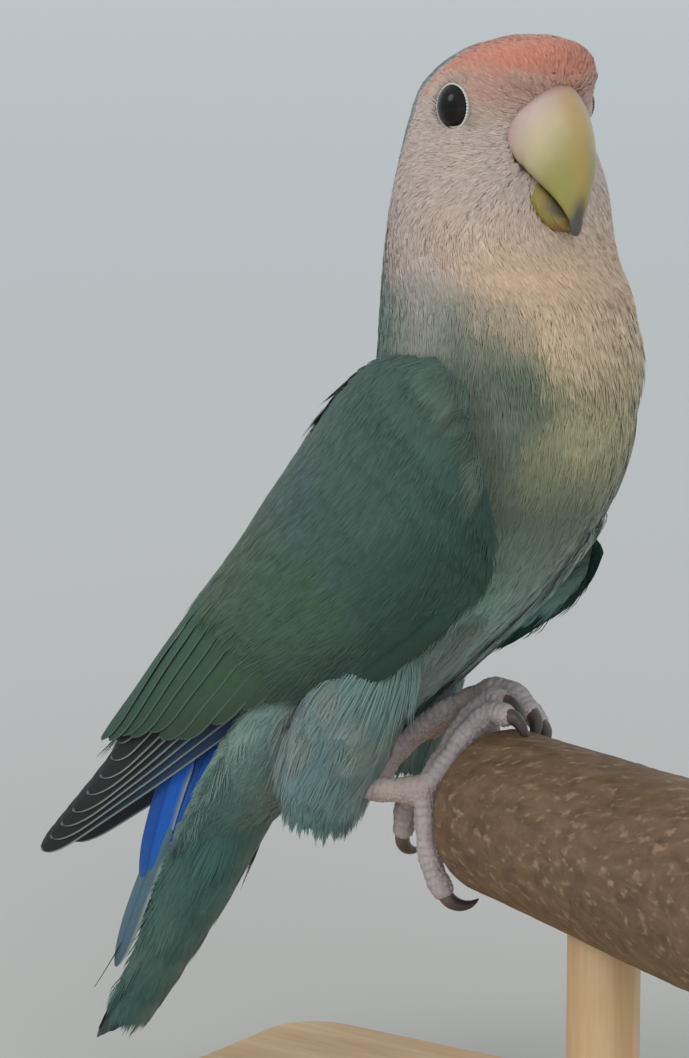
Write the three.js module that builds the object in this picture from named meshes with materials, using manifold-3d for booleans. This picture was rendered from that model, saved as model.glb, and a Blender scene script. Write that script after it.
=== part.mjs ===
// A peach-faced lovebird at life size, gripping the end of a short perch on a plain display stand.
// Millimetres, +Z up. The bird faces +X with its right side towards -Y, and the origin is the centre of the
// stand's underside.
import * as THREE from "three";
import { mergeVertices } from "three/addons/utils/BufferGeometryUtils.js";
import Module from "manifold-3d";

const wasm = await Module();
wasm.setup();

// Driving dimensions
const GAP = 0.3; // between neighbouring pieces
const SLIVER = 0.03; // unions drop triangles finer than this
const BASE = { length: 104, width: 76, height: 8, corner: 9, bevel: 1.2 };
const ROD = { radius: 4.6, along: 25 }; // the rod stands this far along the perch from its rear end
const PERCH = { rear: [8, -1.3, 56.3], yaw: -25, length: 68, rearRadius: 11, frontRadius: 12.5, round: 2.6 };
const HEAD = { x: 7, z: 146, yaw: -20 }; // the skull's centre, and its turn to the bird's right
const EYE = { ahead: 3.4, out: 9, up: 1.5, radius: 3.05, lidRadius: 2.95, lidTube: 0.6, forward: 0.24 };
const VANE = { thick: 0.5, ridge: 0.16 }; // a feather's vane and the raised shaft along its middle

// The body from the tail's root to the crown: the axis point, its lean from upright, and its three half widths
const BODY = [
  { x: -49, z: 32, lean: 32, belly: 2.2, back: 1.4, side: 3.4 },
  { x: -44, z: 40.5, lean: 34, belly: 3.4, back: 2.4, side: 5.4 },
  { x: -38.5, z: 48.5, lean: 37, belly: 5.6, back: 3.6, side: 7.4 },
  { x: -32, z: 56.5, lean: 41, belly: 7.8, back: 5, side: 9.8 },
  { x: -24.5, z: 64.5, lean: 44, belly: 10.4, back: 7, side: 12.6 },
  { x: -15.5, z: 74, lean: 44, belly: 11.4, back: 9.6, side: 14.6 },
  { x: -7, z: 84, lean: 39, belly: 13.6, back: 12, side: 16 },
  { x: 0, z: 94.5, lean: 28, belly: 17.2, back: 14.2, side: 16.5 },
  { x: 4.6, z: 105, lean: 15, belly: 20.4, back: 15.8, side: 16 },
  { x: 6.6, z: 114, lean: 6, belly: 20, back: 16.4, side: 15.5 },
  { x: 7.2, z: 122, lean: 1, belly: 16.8, back: 16, side: 16 },
  { x: 7, z: 128.5, lean: 0, belly: 13.6, back: 15, side: 15.6 },
  { x: 6.8, z: 134.5, lean: 0, belly: 11.4, back: 13.6, side: 14.8 },
  { x: 6.6, z: 140.5, lean: 0, belly: 11, back: 12.6, side: 13.2 },
  { x: 6.8, z: 145.5, lean: 0, belly: 11.4, back: 11.8, side: 11.9 },
  { x: 8.2, z: 149.8, lean: 0, belly: 12, back: 11.6, side: 10.9 },
  { x: 10.4, z: 152.8, lean: 0, belly: 10.6, back: 10.6, side: 9.4 },
  { x: 12.2, z: 155, lean: 0, belly: 7.6, back: 8, side: 7 },
  { x: 13.2, z: 156.1, lean: 0, belly: 4.4, back: 4.8, side: 4.2 },
];
const CROWN = [13, -2.2, 156.5];
const BODY_RINGS = 38;
const BODY_AROUND = 24;
const YAW_FROM = 124; // the neck's twist starts at this height
const YAW_TO = 137; // and has turned the head in full here

const rad = THREE.MathUtils.degToRad;
const V = (x, y, z) => new THREE.Vector3(x, y, z);

// A value read between the entries of a list, smoothly, at t from 0 to 1
function along(list, t) {
  const at = Math.min(Math.max(t, 0), 1) * (list.length - 1);
  const i = Math.min(Math.floor(at), list.length - 2);
  const f = at - i;
  const before = list[Math.max(i - 1, 0)];
  const after = list[Math.min(i + 2, list.length - 1)];
  const [a, b] = [list[i], list[i + 1]];
  const slopeA = (b - before) / 2;
  const slopeB = (after - a) / 2;
  return (
    a * (2 * f ** 3 - 3 * f ** 2 + 1) +
    slopeA * (f ** 3 - 2 * f ** 2 + f) +
    b * (3 * f ** 2 - 2 * f ** 3) +
    slopeB * (f ** 3 - f ** 2)
  );
}

// The same for a list of points
function pointAlong(points, t) {
  return V(...["x", "y", "z"].map((axis) => along(points.map((p) => p[axis]), t)));
}

// A closed surface over rings of points, ended by a point at each end. From ring place flipFrom on, the
// quads are split the other way, so that the two faces of a thin plate are split alike.
function skinOver(rings, start, end, flipFrom = Infinity) {
  const n = rings[0].length;
  const points = [start, ...rings.flat(), end];
  const index = [];
  const at = (ring, j) => 1 + ring * n + (j % n);
  for (let j = 0; j < n; j++) {
    index.push(0, at(0, j + 1), at(0, j));
    index.push(points.length - 1, at(rings.length - 1, j), at(rings.length - 1, j + 1));
    for (let i = 0; i + 1 < rings.length; i++) {
      const [a, b, c, d] = [at(i, j), at(i, j + 1), at(i + 1, j + 1), at(i + 1, j)];
      if (j < flipFrom) index.push(a, b, c, a, c, d);
      else index.push(a, b, d, b, c, d);
    }
  }
  const geometry = new THREE.BufferGeometry().setFromPoints(points);
  geometry.setIndex(index);
  return geometry;
}

// A closed geometry as a solid, turned to face out
function solid(geometry) {
  const bare = geometry.clone();
  bare.deleteAttribute("normal");
  bare.deleteAttribute("uv");
  const merged = mergeVertices(bare, 1e-4);
  const make = (triVerts) =>
    new wasm.Manifold(
      new wasm.Mesh({ numProp: 3, vertProperties: merged.attributes.position.array, triVerts }),
    );
  const triVerts = new Uint32Array(merged.index.array);
  const made = make(triVerts);
  return made.volume() > 0 ? made : make(triVerts.slice().reverse());
}

const fuse = (solids) => solids.reduce((all, next) => all.add(next));
const cut = (body, ...tools) => tools.reduce((left, tool) => left.subtract(tool), body);

// The largest closed surface of a solid, which drops loose scraps and fills sealed hollows
function largest(body) {
  return body.decompose().reduce((best, next) => (next.volume() > best.volume() ? next : best));
}

function geometryOf(body) {
  const mesh = body.getMesh();
  const geometry = new THREE.BufferGeometry();
  geometry.setAttribute("position", new THREE.BufferAttribute(mesh.vertProperties, 3));
  geometry.setIndex(new THREE.BufferAttribute(mesh.triVerts, 1));
  return geometry;
}

// A round limb along a smooth path, with a radius for each of its points
function limb(points, radii, sides = 8, steps = points.length * 3, flat = 1) {
  const path = points.map((p) => V(...p));
  const rings = [];
  for (let i = 0; i < steps; i++) {
    const t = i / (steps - 1);
    const centre = pointAlong(path, t);
    const ahead = pointAlong(path, Math.min(t + 0.02, 1)).sub(pointAlong(path, Math.max(t - 0.02, 0))).normalize();
    const side = V(0, 1, 0).cross(ahead).normalize();
    const other = ahead.clone().cross(side);
    const r = along(radii, t);
    rings.push(
      Array.from({ length: sides }, (_, j) => {
        const a = (2 * Math.PI * j) / sides;
        return centre
          .clone()
          .addScaledVector(side, r * Math.cos(a))
          .addScaledVector(other, r * flat * Math.sin(a));
      }),
    );
  }
  const first = path[0];
  const last = path[path.length - 1];
  const back = first.clone().sub(pointAlong(path, 0.02)).setLength(radii[0] * 0.4);
  const on = last.clone().sub(pointAlong(path, 0.98)).setLength(radii[radii.length - 1] * 0.6);
  return solid(skinOver(rings, first.clone().add(back), last.clone().add(on)));
}

// Head directions: ahead of the skull's centre, out to the bird's right, and up
const headX = V(Math.cos(rad(HEAD.yaw)), Math.sin(rad(HEAD.yaw)), 0);
const headRight = V(Math.sin(rad(HEAD.yaw)), -Math.cos(rad(HEAD.yaw)), 0);
function onHead(ahead, right, up) {
  return V(HEAD.x, 0, HEAD.z + up).addScaledVector(headX, ahead).addScaledVector(headRight, right);
}

// The whole body, larger all round by grow
function bodySolid(grow = 0) {
  const rings = [];
  const read = (key, t) => along(BODY.map((s) => s[key]), t);
  for (let i = 0; i < BODY_RINGS; i++) {
    const t = i / (BODY_RINGS - 1);
    const z = read("z", t);
    const lean = rad(read("lean", t));
    const yaw = rad(HEAD.yaw) * THREE.MathUtils.smoothstep(z, YAW_FROM, YAW_TO);
    const front = V(Math.cos(lean), 0, -Math.sin(lean)).applyAxisAngle(V(0, 0, 1), yaw);
    const right = V(0, -1, 0).applyAxisAngle(V(0, 0, 1), yaw);
    const x = read("x", t);
    const centre = V(HEAD.x, 0, z).addScaledVector(V(1, 0, 0).applyAxisAngle(V(0, 0, 1), yaw), x - HEAD.x);
    rings.push(
      Array.from({ length: BODY_AROUND }, (_, j) => {
        const a = (2 * Math.PI * j) / BODY_AROUND;
        const depth = read(Math.cos(a) > 0 ? "belly" : "back", t) + grow;
        return centre
          .clone()
          .addScaledVector(front, depth * Math.cos(a))
          .addScaledVector(right, (read("side", t) + grow) * Math.sin(a));
      }),
    );
  }
  const low = BODY[0];
  const root = V(low.x - 0.6 - grow, 0, low.z - 1.2 - grow);
  return solid(skinOver(rings, root, V(...CROWN).add(V(0, 0, grow))));
}

// Bill: rings between a line of upper points and a line of lower points, in head places [ahead, up]
const UPPER_BILL = {
  top: [[8, 5.4], [11.2, 4.9], [13.6, 3.3], [15.3, 0.8], [16.2, -2.6], [16.6, -6.2], [16.5, -9.4], [16.1, -11.9]],
  low: [[4.5, -5], [7.6, -5.6], [9.7, -6.8], [11.4, -8], [12.7, -9], [13.7, -10], [14.6, -11.2], [15.1, -12.5]],
  half: [5.2, 5.5, 5.2, 4.6, 3.8, 2.9, 2, 1.2],
  tip: [15.5, -14.3],
};
const LOWER_BILL = {
  top: [[4, -5], [8, -5.4], [10.2, -7], [11.8, -8.6], [12.8, -9.8]],
  low: [[4, -10], [8.4, -11.8], [10.8, -13], [12.4, -13.3], [13.6, -12.7]],
  half: [4.3, 4.5, 4.1, 3.3, 2.2],
  tip: [14, -11.6],
};

function billSolid(form, grow, around = 14, steps = 12, flare = 1) {
  const rings = [];
  const at = (list, t) => V(along(list.map((p) => p[0]), t), 0, along(list.map((p) => p[1]), t));
  for (let i = 0; i < steps; i++) {
    const t = i / (steps - 1);
    const top = at(form.top, t);
    const low = at(form.low, t);
    const half = along(form.half, t) + grow;
    const middle = top.clone().lerp(low, 0.5);
    const rise = top.clone().sub(low).multiplyScalar(0.5);
    rise.setLength(rise.length() + grow);
    rings.push(
      Array.from({ length: around }, (_, j) => {
        const a = (2 * Math.PI * j) / around;
        const s = Math.sin(a);
        // The widest place lies below the middle on the upper bill and above it on the lower bill
        const wide = half * Math.sign(s) * Math.abs(s) ** 0.8 * (1 - 0.32 * flare * Math.cos(a));
        const p = middle.clone().addScaledVector(rise, Math.cos(a));
        return onHead(p.x, wide, p.z);
      }),
    );
  }
  const start = at(form.top, 0).lerp(at(form.low, 0), 0.5);
  return solid(
    skinOver(rings, onHead(start.x - 0.3 - grow, 0, start.z), onHead(form.tip[0], 0, form.tip[1] - grow)),
  );
}

function eyePlace(side) {
  return onHead(EYE.ahead, side * EYE.out, EYE.up);
}

// The way an eye looks: out to its side and a little ahead
function eyeWay(side) {
  return headRight.clone().multiplyScalar(side).addScaledVector(headX, EYE.forward).normalize();
}

function ball(centre, radius, around = 14, rings = 9) {
  const geometry = new THREE.SphereGeometry(radius, around, rings);
  geometry.translate(centre.x, centre.y, centre.z);
  return solid(geometry);
}

// The lids: a ring on the head round each eye, square to the eye's own direction
function lidRing(side) {
  const out = eyeWay(side);
  const geometry = new THREE.TorusGeometry(EYE.lidRadius, EYE.lidTube, 5, 16);
  geometry.applyQuaternion(new THREE.Quaternion().setFromUnitVectors(V(0, 0, 1), out));
  const centre = eyePlace(side).addScaledVector(out, EYE.radius * 0.72);
  geometry.translate(centre.x, centre.y, centre.z);
  return solid(geometry);
}

// The fleshy cere above the bill with its two nostrils
const CERE = { ahead: 9.8, up: 5, radius: 3.2, wide: 1.75 };
const NOSTRIL = { ahead: 12.9, out: 2, up: 6.2, radius: 0.6 };

function cereSolid() {
  const geometry = new THREE.SphereGeometry(CERE.radius, 12, 8);
  geometry.scale(1, CERE.wide, 0.95);
  geometry.rotateZ(rad(HEAD.yaw));
  const centre = onHead(CERE.ahead, 0, CERE.up);
  geometry.translate(centre.x, centre.y, centre.z);
  return solid(geometry);
}

// One wing's surface for the right side: across it from the lower edge, over the middle, to the edge at the
// back, at stations from the bend to the tip
const WING = [
  { low: [17, -16.6, 101.5], mid: [9.2, -19.4, 115], back: [-10.8, -9, 118.4] },
  { low: [15.6, -17.4, 91.2], mid: [2.2, -19.9, 104.6], back: [-17, -5, 109.6] },
  { low: [7, -17.2, 82], mid: [-8, -18.6, 94], back: [-24.4, -3.4, 97.8] },
  { low: [-8, -15, 73.2], mid: [-21, -15, 82.8], back: [-34.8, -2.8, 83.2] },
  { low: [-24, -11.4, 64.2], mid: [-35, -10, 71.8], back: [-45.8, -2.4, 69.8] },
  { low: [-44, -7.6, 52.2], mid: [-50, -6.8, 57.2], back: [-57, -3.4, 56.4] },
  { low: [-69.2, -5.8, 38.4], mid: [-69.6, -5.2, 40.6], back: [-69.8, -4.6, 42.2] },
];

function wingPoint(a, b) {
  const edge = (key) => pointAlong(WING.map((s) => V(...s[key])), a);
  const [low, mid, back] = [edge("low"), edge("mid"), edge("back")];
  // A quadratic curve through the three points
  const w = [2 * (b - 0.5) * (b - 1), 4 * b * (1 - b), 2 * b * (b - 0.5)];
  return low.multiplyScalar(w[0]).addScaledVector(mid, w[1]).addScaledVector(back, w[2]);
}

function wingNormal(a, b) {
  const step = 0.02;
  const [a0, a1] = [Math.max(a - step, 0), Math.min(a + step, 1)];
  const [b0, b1] = [Math.max(b - step, 0), Math.min(b + step, 1)];
  const alongIt = wingPoint(a1, b).sub(wingPoint(a0, b));
  const across = wingPoint(a, b1).sub(wingPoint(a, b0));
  const out = alongIt.cross(across).normalize();
  return out.y > 0 ? out.negate() : out;
}

const onWing = (a, b, lift) => wingPoint(a, b).addScaledVector(wingNormal(a, b), lift);

// The arm of the wing: a thick plate under the wing's surface, which the body then cuts to fit
const ARM = { from: 0.01, to: 0.52, stations: 10, across: 8, deep: 7, rim: 0.5 };

function armSolid(grow = 0, deep = ARM.deep, raise = 0) {
  const rings = [];
  const low = -grow * 0.02;
  for (let i = 0; i < ARM.stations; i++) {
    const a = THREE.MathUtils.lerp(ARM.from, ARM.to + grow * 0.01, i / (ARM.stations - 1));
    const outer = [];
    const inner = [];
    for (let j = 0; j < ARM.across; j++) {
      const b = THREE.MathUtils.lerp(low, 1, j / (ARM.across - 1));
      const edge = Math.sin(Math.PI * THREE.MathUtils.clamp(b, 0.02, 0.98)) ** 0.35;
      const end = Math.min(1, 0.35 + (4 * i) / ARM.stations);
      outer.push(onWing(a, b, raise + grow - ARM.rim * (2 - edge - end)));
      inner.push(onWing(a, b, -grow - ARM.rim - 0.6 - deep * edge * (1 - 0.45 * (i / ARM.stations))));
    }
    rings.push([...outer, ...inner.reverse()]);
  }
  const middle = (a) => onWing(a, 0.5, -deep * 0.5);
  return solid(skinOver(rings, middle(ARM.from - grow * 0.02), middle(ARM.to + grow * 0.02), ARM.across));
}

// A vane: a thin tapered blade from root to tip, given by functions of t for its middle, its way across and
// its outward direction
function vaneSolid({ middle, across, out, half, steps = 5, thick = VANE.thick, ridge = VANE.ridge }) {
  const rings = [];
  for (let i = 0; i < steps; i++) {
    const t = i / (steps - 1);
    const centre = middle(t * 0.96);
    const side = across(t);
    const up = out(t);
    const w = half(t);
    const place = (s, lift) => centre.clone().addScaledVector(side, s * w).addScaledVector(up, lift);
    rings.push([
      place(-1, thick / 2),
      place(0, thick / 2 + ridge),
      place(1, thick / 2),
      place(1, -thick / 2),
      place(0, -thick / 2),
      place(-1, -thick / 2),
    ]);
  }
  return solid(skinOver(rings, middle(0), middle(1), 3));
}

// Width of a vane along its length: narrow root, even blade, rounded or pointed tip
function bladeHalf(half, point = 0.3) {
  return (t) => {
    const root = THREE.MathUtils.smoothstep(t, -0.35, 0.35);
    const tip = Math.sqrt(Math.max(1 - Math.max((t - 0.55) / 0.47, 0) ** 2, 0));
    return half * root * Math.max(tip, point);
  };
}

// A feather on the wing, from place [a, b] to place [a, b], tilted like a shingle with its lower edge out
function wingVane({ root, tip, half, lift = [0, 0], tilt = 15, point = 0.3, steps = 5 }) {
  const at = (t) => [
    THREE.MathUtils.lerp(root[0], tip[0], t),
    THREE.MathUtils.lerp(root[1], tip[1], t),
  ];
  const rise = (t) => THREE.MathUtils.lerp(...lift, THREE.MathUtils.smoothstep(t, 0, 0.5));
  const middle = (t) => onWing(...at(t), rise(t));
  const ahead = (t) => middle(Math.min(t + 0.05, 1)).sub(middle(Math.max(t - 0.05, 0))).normalize();
  const out = (t) => {
    const normal = wingNormal(...at(t));
    return normal.applyAxisAngle(ahead(t), rad(tilt)).normalize();
  };
  const across = (t) => ahead(t).cross(out(t)).normalize();
  return vaneSolid({ middle, across, out, half: bladeHalf(half, point), steps });
}

// Tiers of the folded wing. Places are [along, across] on the wing's surface, first for a tier's feather at the
// back of the wing, then for the one at its lower edge.
const TIERS = {
  primaries: {
    count: 7, half: 3.6, tilt: [10, 12], steps: 5, point: 0.3,
    root: [[0.47, 0.66], [0.47, 0.16]], tip: [[0.8, 0.66], [0.995, 0.5]], lift: [[-0.9, 1.3], [-1.6, -2.6]],
  },
  secondaries: {
    count: 7, half: 3.8, tilt: [8, 20], steps: 4, point: 0.5,
    root: [[0.38, 0.84], [0.38, 0.18]], tip: [[0.81, 0.82], [0.6, 0.2]], lift: [[-1.2, 1.5], [-1.2, 0.9]],
  },
  coverts: {
    count: 6, half: 4, tilt: [8, 19], steps: 3, point: 0.5,
    root: [[0.27, 0.84], [0.27, 0.17]], tip: [[0.54, 0.82], [0.47, 0.19]], lift: [[-1.2, 1.6], [-1.2, 1.7]],
  },
  lesser: {
    count: 5, half: 4.6, tilt: [6, 18], steps: 3, point: 0.5,
    root: [[0.14, 0.82], [0.14, 0.17]], tip: [[0.36, 0.8], [0.31, 0.19]], lift: [[-1.2, 0.9], [-1.2, 1.1]],
  },
};

function wingFeathers() {
  const between = ([a, b], s) => a.map((v, i) => THREE.MathUtils.lerp(v, b[i], s));
  return Object.values(TIERS).flatMap(({ count, root, tip, lift, tilt, ...shape }) =>
    Array.from({ length: count }, (_, k) => {
      const s = k / (count - 1);
      const places = { root: between(root, s), tip: between(tip, s), lift: between(lift, s) };
      return wingVane({ ...shape, ...places, tilt: THREE.MathUtils.lerp(...tilt, s) });
    }),
  );
}

// The tail hangs from its root along a line, with its upper side towards the back
const TAIL = { root: [-35.5, 0, 58], tip: [-59.5, 0, 13.2], pairs: 6, half: 3.5, layer: 0.85, fan: 0.35 };
const TAIL_COVERTS = [
  { count: 3, from: -2, length: 22, depth: -1.3, sag: 0, spread: 5, half: 3.2, roll: -18 },
  { count: 5, from: 5, length: 24, depth: 9, sag: 2.2, spread: 5.2, half: 2.9, roll: 20 },
  { count: 3, from: 14, length: 24, depth: 7.4, sag: 0.9, spread: 3.6, half: 2.9, roll: 14 },
];
const tailRoot = V(...TAIL.root);
const tailDown = V(...TAIL.tip).sub(tailRoot).normalize();
const tailLength = V(...TAIL.tip).distanceTo(tailRoot);
const tailUp = V(0, 1, 0).cross(tailDown).normalize(); // out of the tail's upper side
const tailRight = V(0, -1, 0);

// One feather of the tail, or of its coverts: its root down the tail, out to the right and sunk below the
// top, then its length, its turn outwards and how far its end rises towards the top
function tailVane({ from, length, out = 0, turn = 0, depth, half, sag = 0, point = 0.35, steps = 4, roll = 0 }) {
  const way = tailDown.clone().addScaledVector(tailRight, Math.tan(rad(turn))).normalize();
  const start = tailRoot
    .clone()
    .addScaledVector(tailDown, from)
    .addScaledVector(tailUp, -depth)
    .addScaledVector(tailRight, out);
  const lifted = tailUp.clone().applyAxisAngle(way, rad(roll));
  const side = way.clone().cross(lifted).normalize();
  return vaneSolid({
    middle: (t) =>
      start
        .clone()
        .addScaledVector(way, length * t)
        .addScaledVector(tailUp, sag * t * t),
    ridge: 0.05,
    across: () => side,
    out: () => lifted,
    half: bladeHalf(half, point),
    steps,
  });
}

function tailFeathers() {
  const feathers = [];
  for (let pair = 0; pair < TAIL.pairs; pair++)
    for (const side of [-1, 1])
      feathers.push(
        tailVane({
          from: 6,
          length: tailLength - 6 - pair * 1.9,
          out: pair ? side * (TAIL.half + 0.2 + 0.12 * pair) : side * 0.8,
          turn: side * TAIL.fan * (pair - 0.6),
          depth: pair ? TAIL.layer * (pair + 1) : TAIL.layer * (side > 0 ? 0 : 1),
          half: pair ? TAIL.half : TAIL.half + 0.6,
        }),
      );
  // Upper coverts over the rump, then the longer lower ones under the tail in two rows
  for (const { count, from, length, depth, sag, spread, half, roll } of TAIL_COVERTS)
    for (let k = 0; k < count; k++) {
      const s = (2 * k) / (count - 1) - 1;
      feathers.push(
        tailVane({
          from,
          length: length - 3 * Math.abs(s),
          out: s * spread,
          turn: s * -2.5,
          depth: depth - Math.sign(depth) * (2 * Math.abs(s) + 0.9 * s * s),
          half,
          sag,
          roll: s * roll,
          steps: 4,
          point: 0.5,
        }),
      );
    }
  return feathers;
}

// Perch places: along its axis from the rear end, out to its right, and up from its axis
const perchWay = V(Math.cos(rad(PERCH.yaw)), Math.sin(rad(PERCH.yaw)), 0);
const perchRight = V(Math.sin(rad(PERCH.yaw)), -Math.cos(rad(PERCH.yaw)), 0);
function onPerch(on, right, up) {
  const p = V(...PERCH.rear).addScaledVector(perchWay, on).addScaledVector(perchRight, right);
  return [p.x, p.y, p.z + up];
}

function perchSolid(grow = 0) {
  const arc = (end, radius, from) =>
    Array.from({ length: 4 }, (_, i) => {
      const a = rad(from + (i * 90) / 3);
      return new THREE.Vector2(
        radius - PERCH.round + PERCH.round * Math.cos(a),
        end + PERCH.round * Math.sin(a),
      );
    });
  const profile = [
    new THREE.Vector2(0, -grow),
    ...arc(PERCH.round - grow, PERCH.rearRadius + grow, -90),
    ...arc(PERCH.length - PERCH.round + grow, PERCH.frontRadius + grow, 0),
    new THREE.Vector2(0, PERCH.length + grow),
  ];
  const geometry = new THREE.LatheGeometry(profile, 24);
  geometry.rotateZ(rad(-90)); // the axis now runs along +X
  geometry.rotateZ(rad(PERCH.yaw));
  geometry.translate(...PERCH.rear);
  return solid(geometry);
}

// Legs. A toe is a path in perch places, and a claw carries on from its end.
const FEET = {
  right: {
    ankle: [-12.5, -12, 58.4],
    palm: onPerch(-3.6, 8.8, 2.6),
    toes: {
      outer_front: [[-2.8, 6, 5.8], [-2.1, 3.4, 9.7], [0.8, 1.8, 13], [3.8, 1.2, 13.2]],
      inner_front: [[-4.8, 4.8, 6.6], [-4.8, 2, 10.6], [-2.8, -0.4, 13.8], [-0.4, -1, 14]],
      outer_back: [[-2.9, 8.8, -1], [-2.8, 8.6, -5], [-2.2, 8.2, -8], [-1, 7.6, -10.2]],
      inner_back: [[-6.8, 7.8, 2.2], [-9.6, 7.8, -0.4], [-10.4, 8, -4.2]],
    },
  },
  left: {
    ankle: [-13.2, 9.5, 60.2],
    palm: onPerch(-11, -3, 12),
    toes: {
      outer_front: [[-8.6, -6.2, 12.2], [-6, -8, 11.6], [-3, -8.4, 10]],
      inner_front: [[-7.4, -4.2, 14], [-3.8, -5, 14], [-0.4, -5.2, 12.4]],
      outer_back: [[-11, -5.4, 8.2], [-10.8, -6.4, 3.6], [-9.6, -6.6, -0.6]],
      inner_back: [[-14.2, 0.4, 9.6], [-18.4, 3.6, 5], [-20.2, 5, 1.6]],
    },
  },
};
const TOE = { root: 1.85, tip: 1.5, claw: 1.05, hook: 2.7, curl: 1.95 };

// A hooked horn: leaves the toe along its way and curls inwards on a small circle
function claw(from, way, inward) {
  const points = [];
  for (let i = 0; i <= 4; i++) {
    const turn = (i / 4) * TOE.curl;
    points.push(
      from
        .clone()
        .addScaledVector(way, TOE.hook * Math.sin(turn))
        .addScaledVector(inward, TOE.hook * (1 - Math.cos(turn)))
        .toArray(),
    );
  }
  return limb(points, [TOE.claw, TOE.claw * 0.96, TOE.claw * 0.78, TOE.claw * 0.5, 0.14], 6, 6);
}

// One foot: the bare shin down to the palm and the four toes, larger all round by grow
function footSolid(name, grow = 0) {
  const { ankle, palm, toes } = FEET[name];
  const top = V(...ankle);
  const middle = top.clone().lerp(V(...palm), 0.5);
  const shin = limb([ankle, middle.toArray(), palm], [2 + grow, 1.6 + grow, 2.1 + grow], 10, 6);
  const bones = Object.values(toes).map((places) => {
    const path = [palm, ...places.map((p) => onPerch(...p))];
    const radii = path.map((_, i) => THREE.MathUtils.lerp(TOE.root, TOE.tip, i / (path.length - 1)) + grow);
    return limb(path, radii, 7, path.length * 2 - 1);
  });
  return fuse([shin, ...bones]);
}

// The claws of one foot, each curling in towards the perch's middle
function clawSolids(name) {
  return Object.entries(FEET[name].toes).map(([toe, places]) => {
    const [before, last] = places.slice(-2).map((p) => V(...onPerch(...p)));
    const ahead = last.clone().sub(before).normalize();
    const inward = V(...onPerch(places[places.length - 1][0], 0, 0)).sub(last);
    inward.addScaledVector(ahead, -inward.dot(ahead)).normalize();
    return [toe, claw(last.addScaledVector(ahead, TOE.tip * 0.35), ahead, inward)];
  });
}

// Feathered thighs: soft lobes from the belly down to the ankle
const THIGHS = {
  right: {
    path: [[-3, -8, 81], [-7.5, -10.4, 71], [-11.5, -11.6, 61.5], [-13.6, -12, 52.6]],
    radii: [8.4, 7.6, 5.6, 2],
  },
  left: {
    path: [[-3, 8, 81], [-7.5, 9.8, 72], [-11.5, 10, 64], [-14, 9.8, 57.6]],
    radii: [8.4, 7.2, 4.6, 1.8],
  },
};

function standBase() {
  const shape = new THREE.Shape();
  const [w, d] = [BASE.length / 2 - BASE.bevel, BASE.width / 2 - BASE.bevel];
  const c = BASE.corner;
  shape.moveTo(-w + c, -d);
  shape.lineTo(w - c, -d);
  shape.absarc(w - c, -d + c, c, rad(-90), 0);
  shape.lineTo(w, d - c);
  shape.absarc(w - c, d - c, c, 0, rad(90));
  shape.lineTo(-w + c, d);
  shape.absarc(-w + c, d - c, c, rad(90), rad(180));
  shape.lineTo(-w, -d + c);
  shape.absarc(-w + c, -d + c, c, rad(180), rad(270));
  const geometry = new THREE.ExtrudeGeometry(shape, {
    depth: BASE.height - 2 * BASE.bevel,
    bevelEnabled: true,
    bevelThickness: BASE.bevel,
    bevelSize: BASE.bevel,
    bevelSegments: 2,
    curveSegments: 4,
  });
  geometry.translate(0, 0, BASE.bevel);
  return solid(geometry);
}

function rodSolid(perchCut) {
  const [x, y, z] = onPerch(ROD.along, 0, 0);
  const bottom = BASE.height + GAP;
  const geometry = new THREE.CylinderGeometry(ROD.radius, ROD.radius, z - bottom, 24);
  geometry.rotateX(rad(90));
  geometry.translate(x, y, (z + bottom) / 2);
  return largest(cut(solid(geometry), perchCut));
}

// Materials from the photograph
const paint = (color, roughness, metalness = 0) =>
  new THREE.MeshStandardMaterial({ color, roughness, metalness });
const MATERIALS = {
  body: paint(0x6f9a86, 0.85),
  neck: paint(0xd8b39a, 0.85),
  head: paint(0xe0a68c, 0.85),
  wing: paint(0x35544a, 0.7),
  tail: paint(0x3f6f68, 0.7),
  bill: paint(0xb9ad62, 0.35),
  eye: paint(0x120d0c, 0.08),
  foot: paint(0xa9a09e, 0.8),
  claw: paint(0x3a3231, 0.35),
  perch: paint(0x7d634c, 0.75),
  stand: paint(0xc9a877, 0.6),
};

const bird = new THREE.Group();
function place(name, body, material) {
  const mesh = new THREE.Mesh(geometryOf(largest(body.simplify(SLIVER))), MATERIALS[material]);
  mesh.name = name;
  bird.add(mesh);
}

// Where the body is parted: a plane's normal, and its place along that normal
const TAIL_CUT = { normal: [0.7, 0, 0.714], at: 15.8 };
const NECK_CUT = { normal: [0.08, 0, 0.997], at: 118.4 };
const HEAD_CUT = { normal: [0.28, -0.1, 0.955], at: 128.6 };
const above = (body, { normal, at }) => body.trimByPlane(normal, at + GAP / 2);
const below = (body, { normal, at }) => body.trimByPlane(normal.map((n) => -n), -at + GAP / 2);

const whole = bodySolid();
const wholeGrown = bodySolid(GAP);
const perch = perchSolid();
const perchRoom = perchSolid(GAP);

const arm = largest(cut(armSolid(), wholeGrown));
const wingRight = largest(fuse([arm, ...wingFeathers().map((f) => cut(f, wholeGrown))]));
const wingLeft = wingRight.mirror([0, 1, 0]);
// The room a wing takes up, from just under its vanes outwards
const wingRoom = fuse([armSolid(GAP), armSolid(GAP, 0.8, 9)]);
const wingRooms = { right: wingRoom, left: wingRoom.mirror([0, 1, 0]) };

const tail = fuse([below(whole, TAIL_CUT), ...tailFeathers().map((f) => below(f, TAIL_CUT))]);
const bills = { upper: billSolid(UPPER_BILL, 0), lower: billSolid(LOWER_BILL, 0, 12, 8, -0.6) };
const billSpace = [billSolid(UPPER_BILL, GAP), billSolid(LOWER_BILL, GAP, 12, 8, -0.6)];

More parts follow.
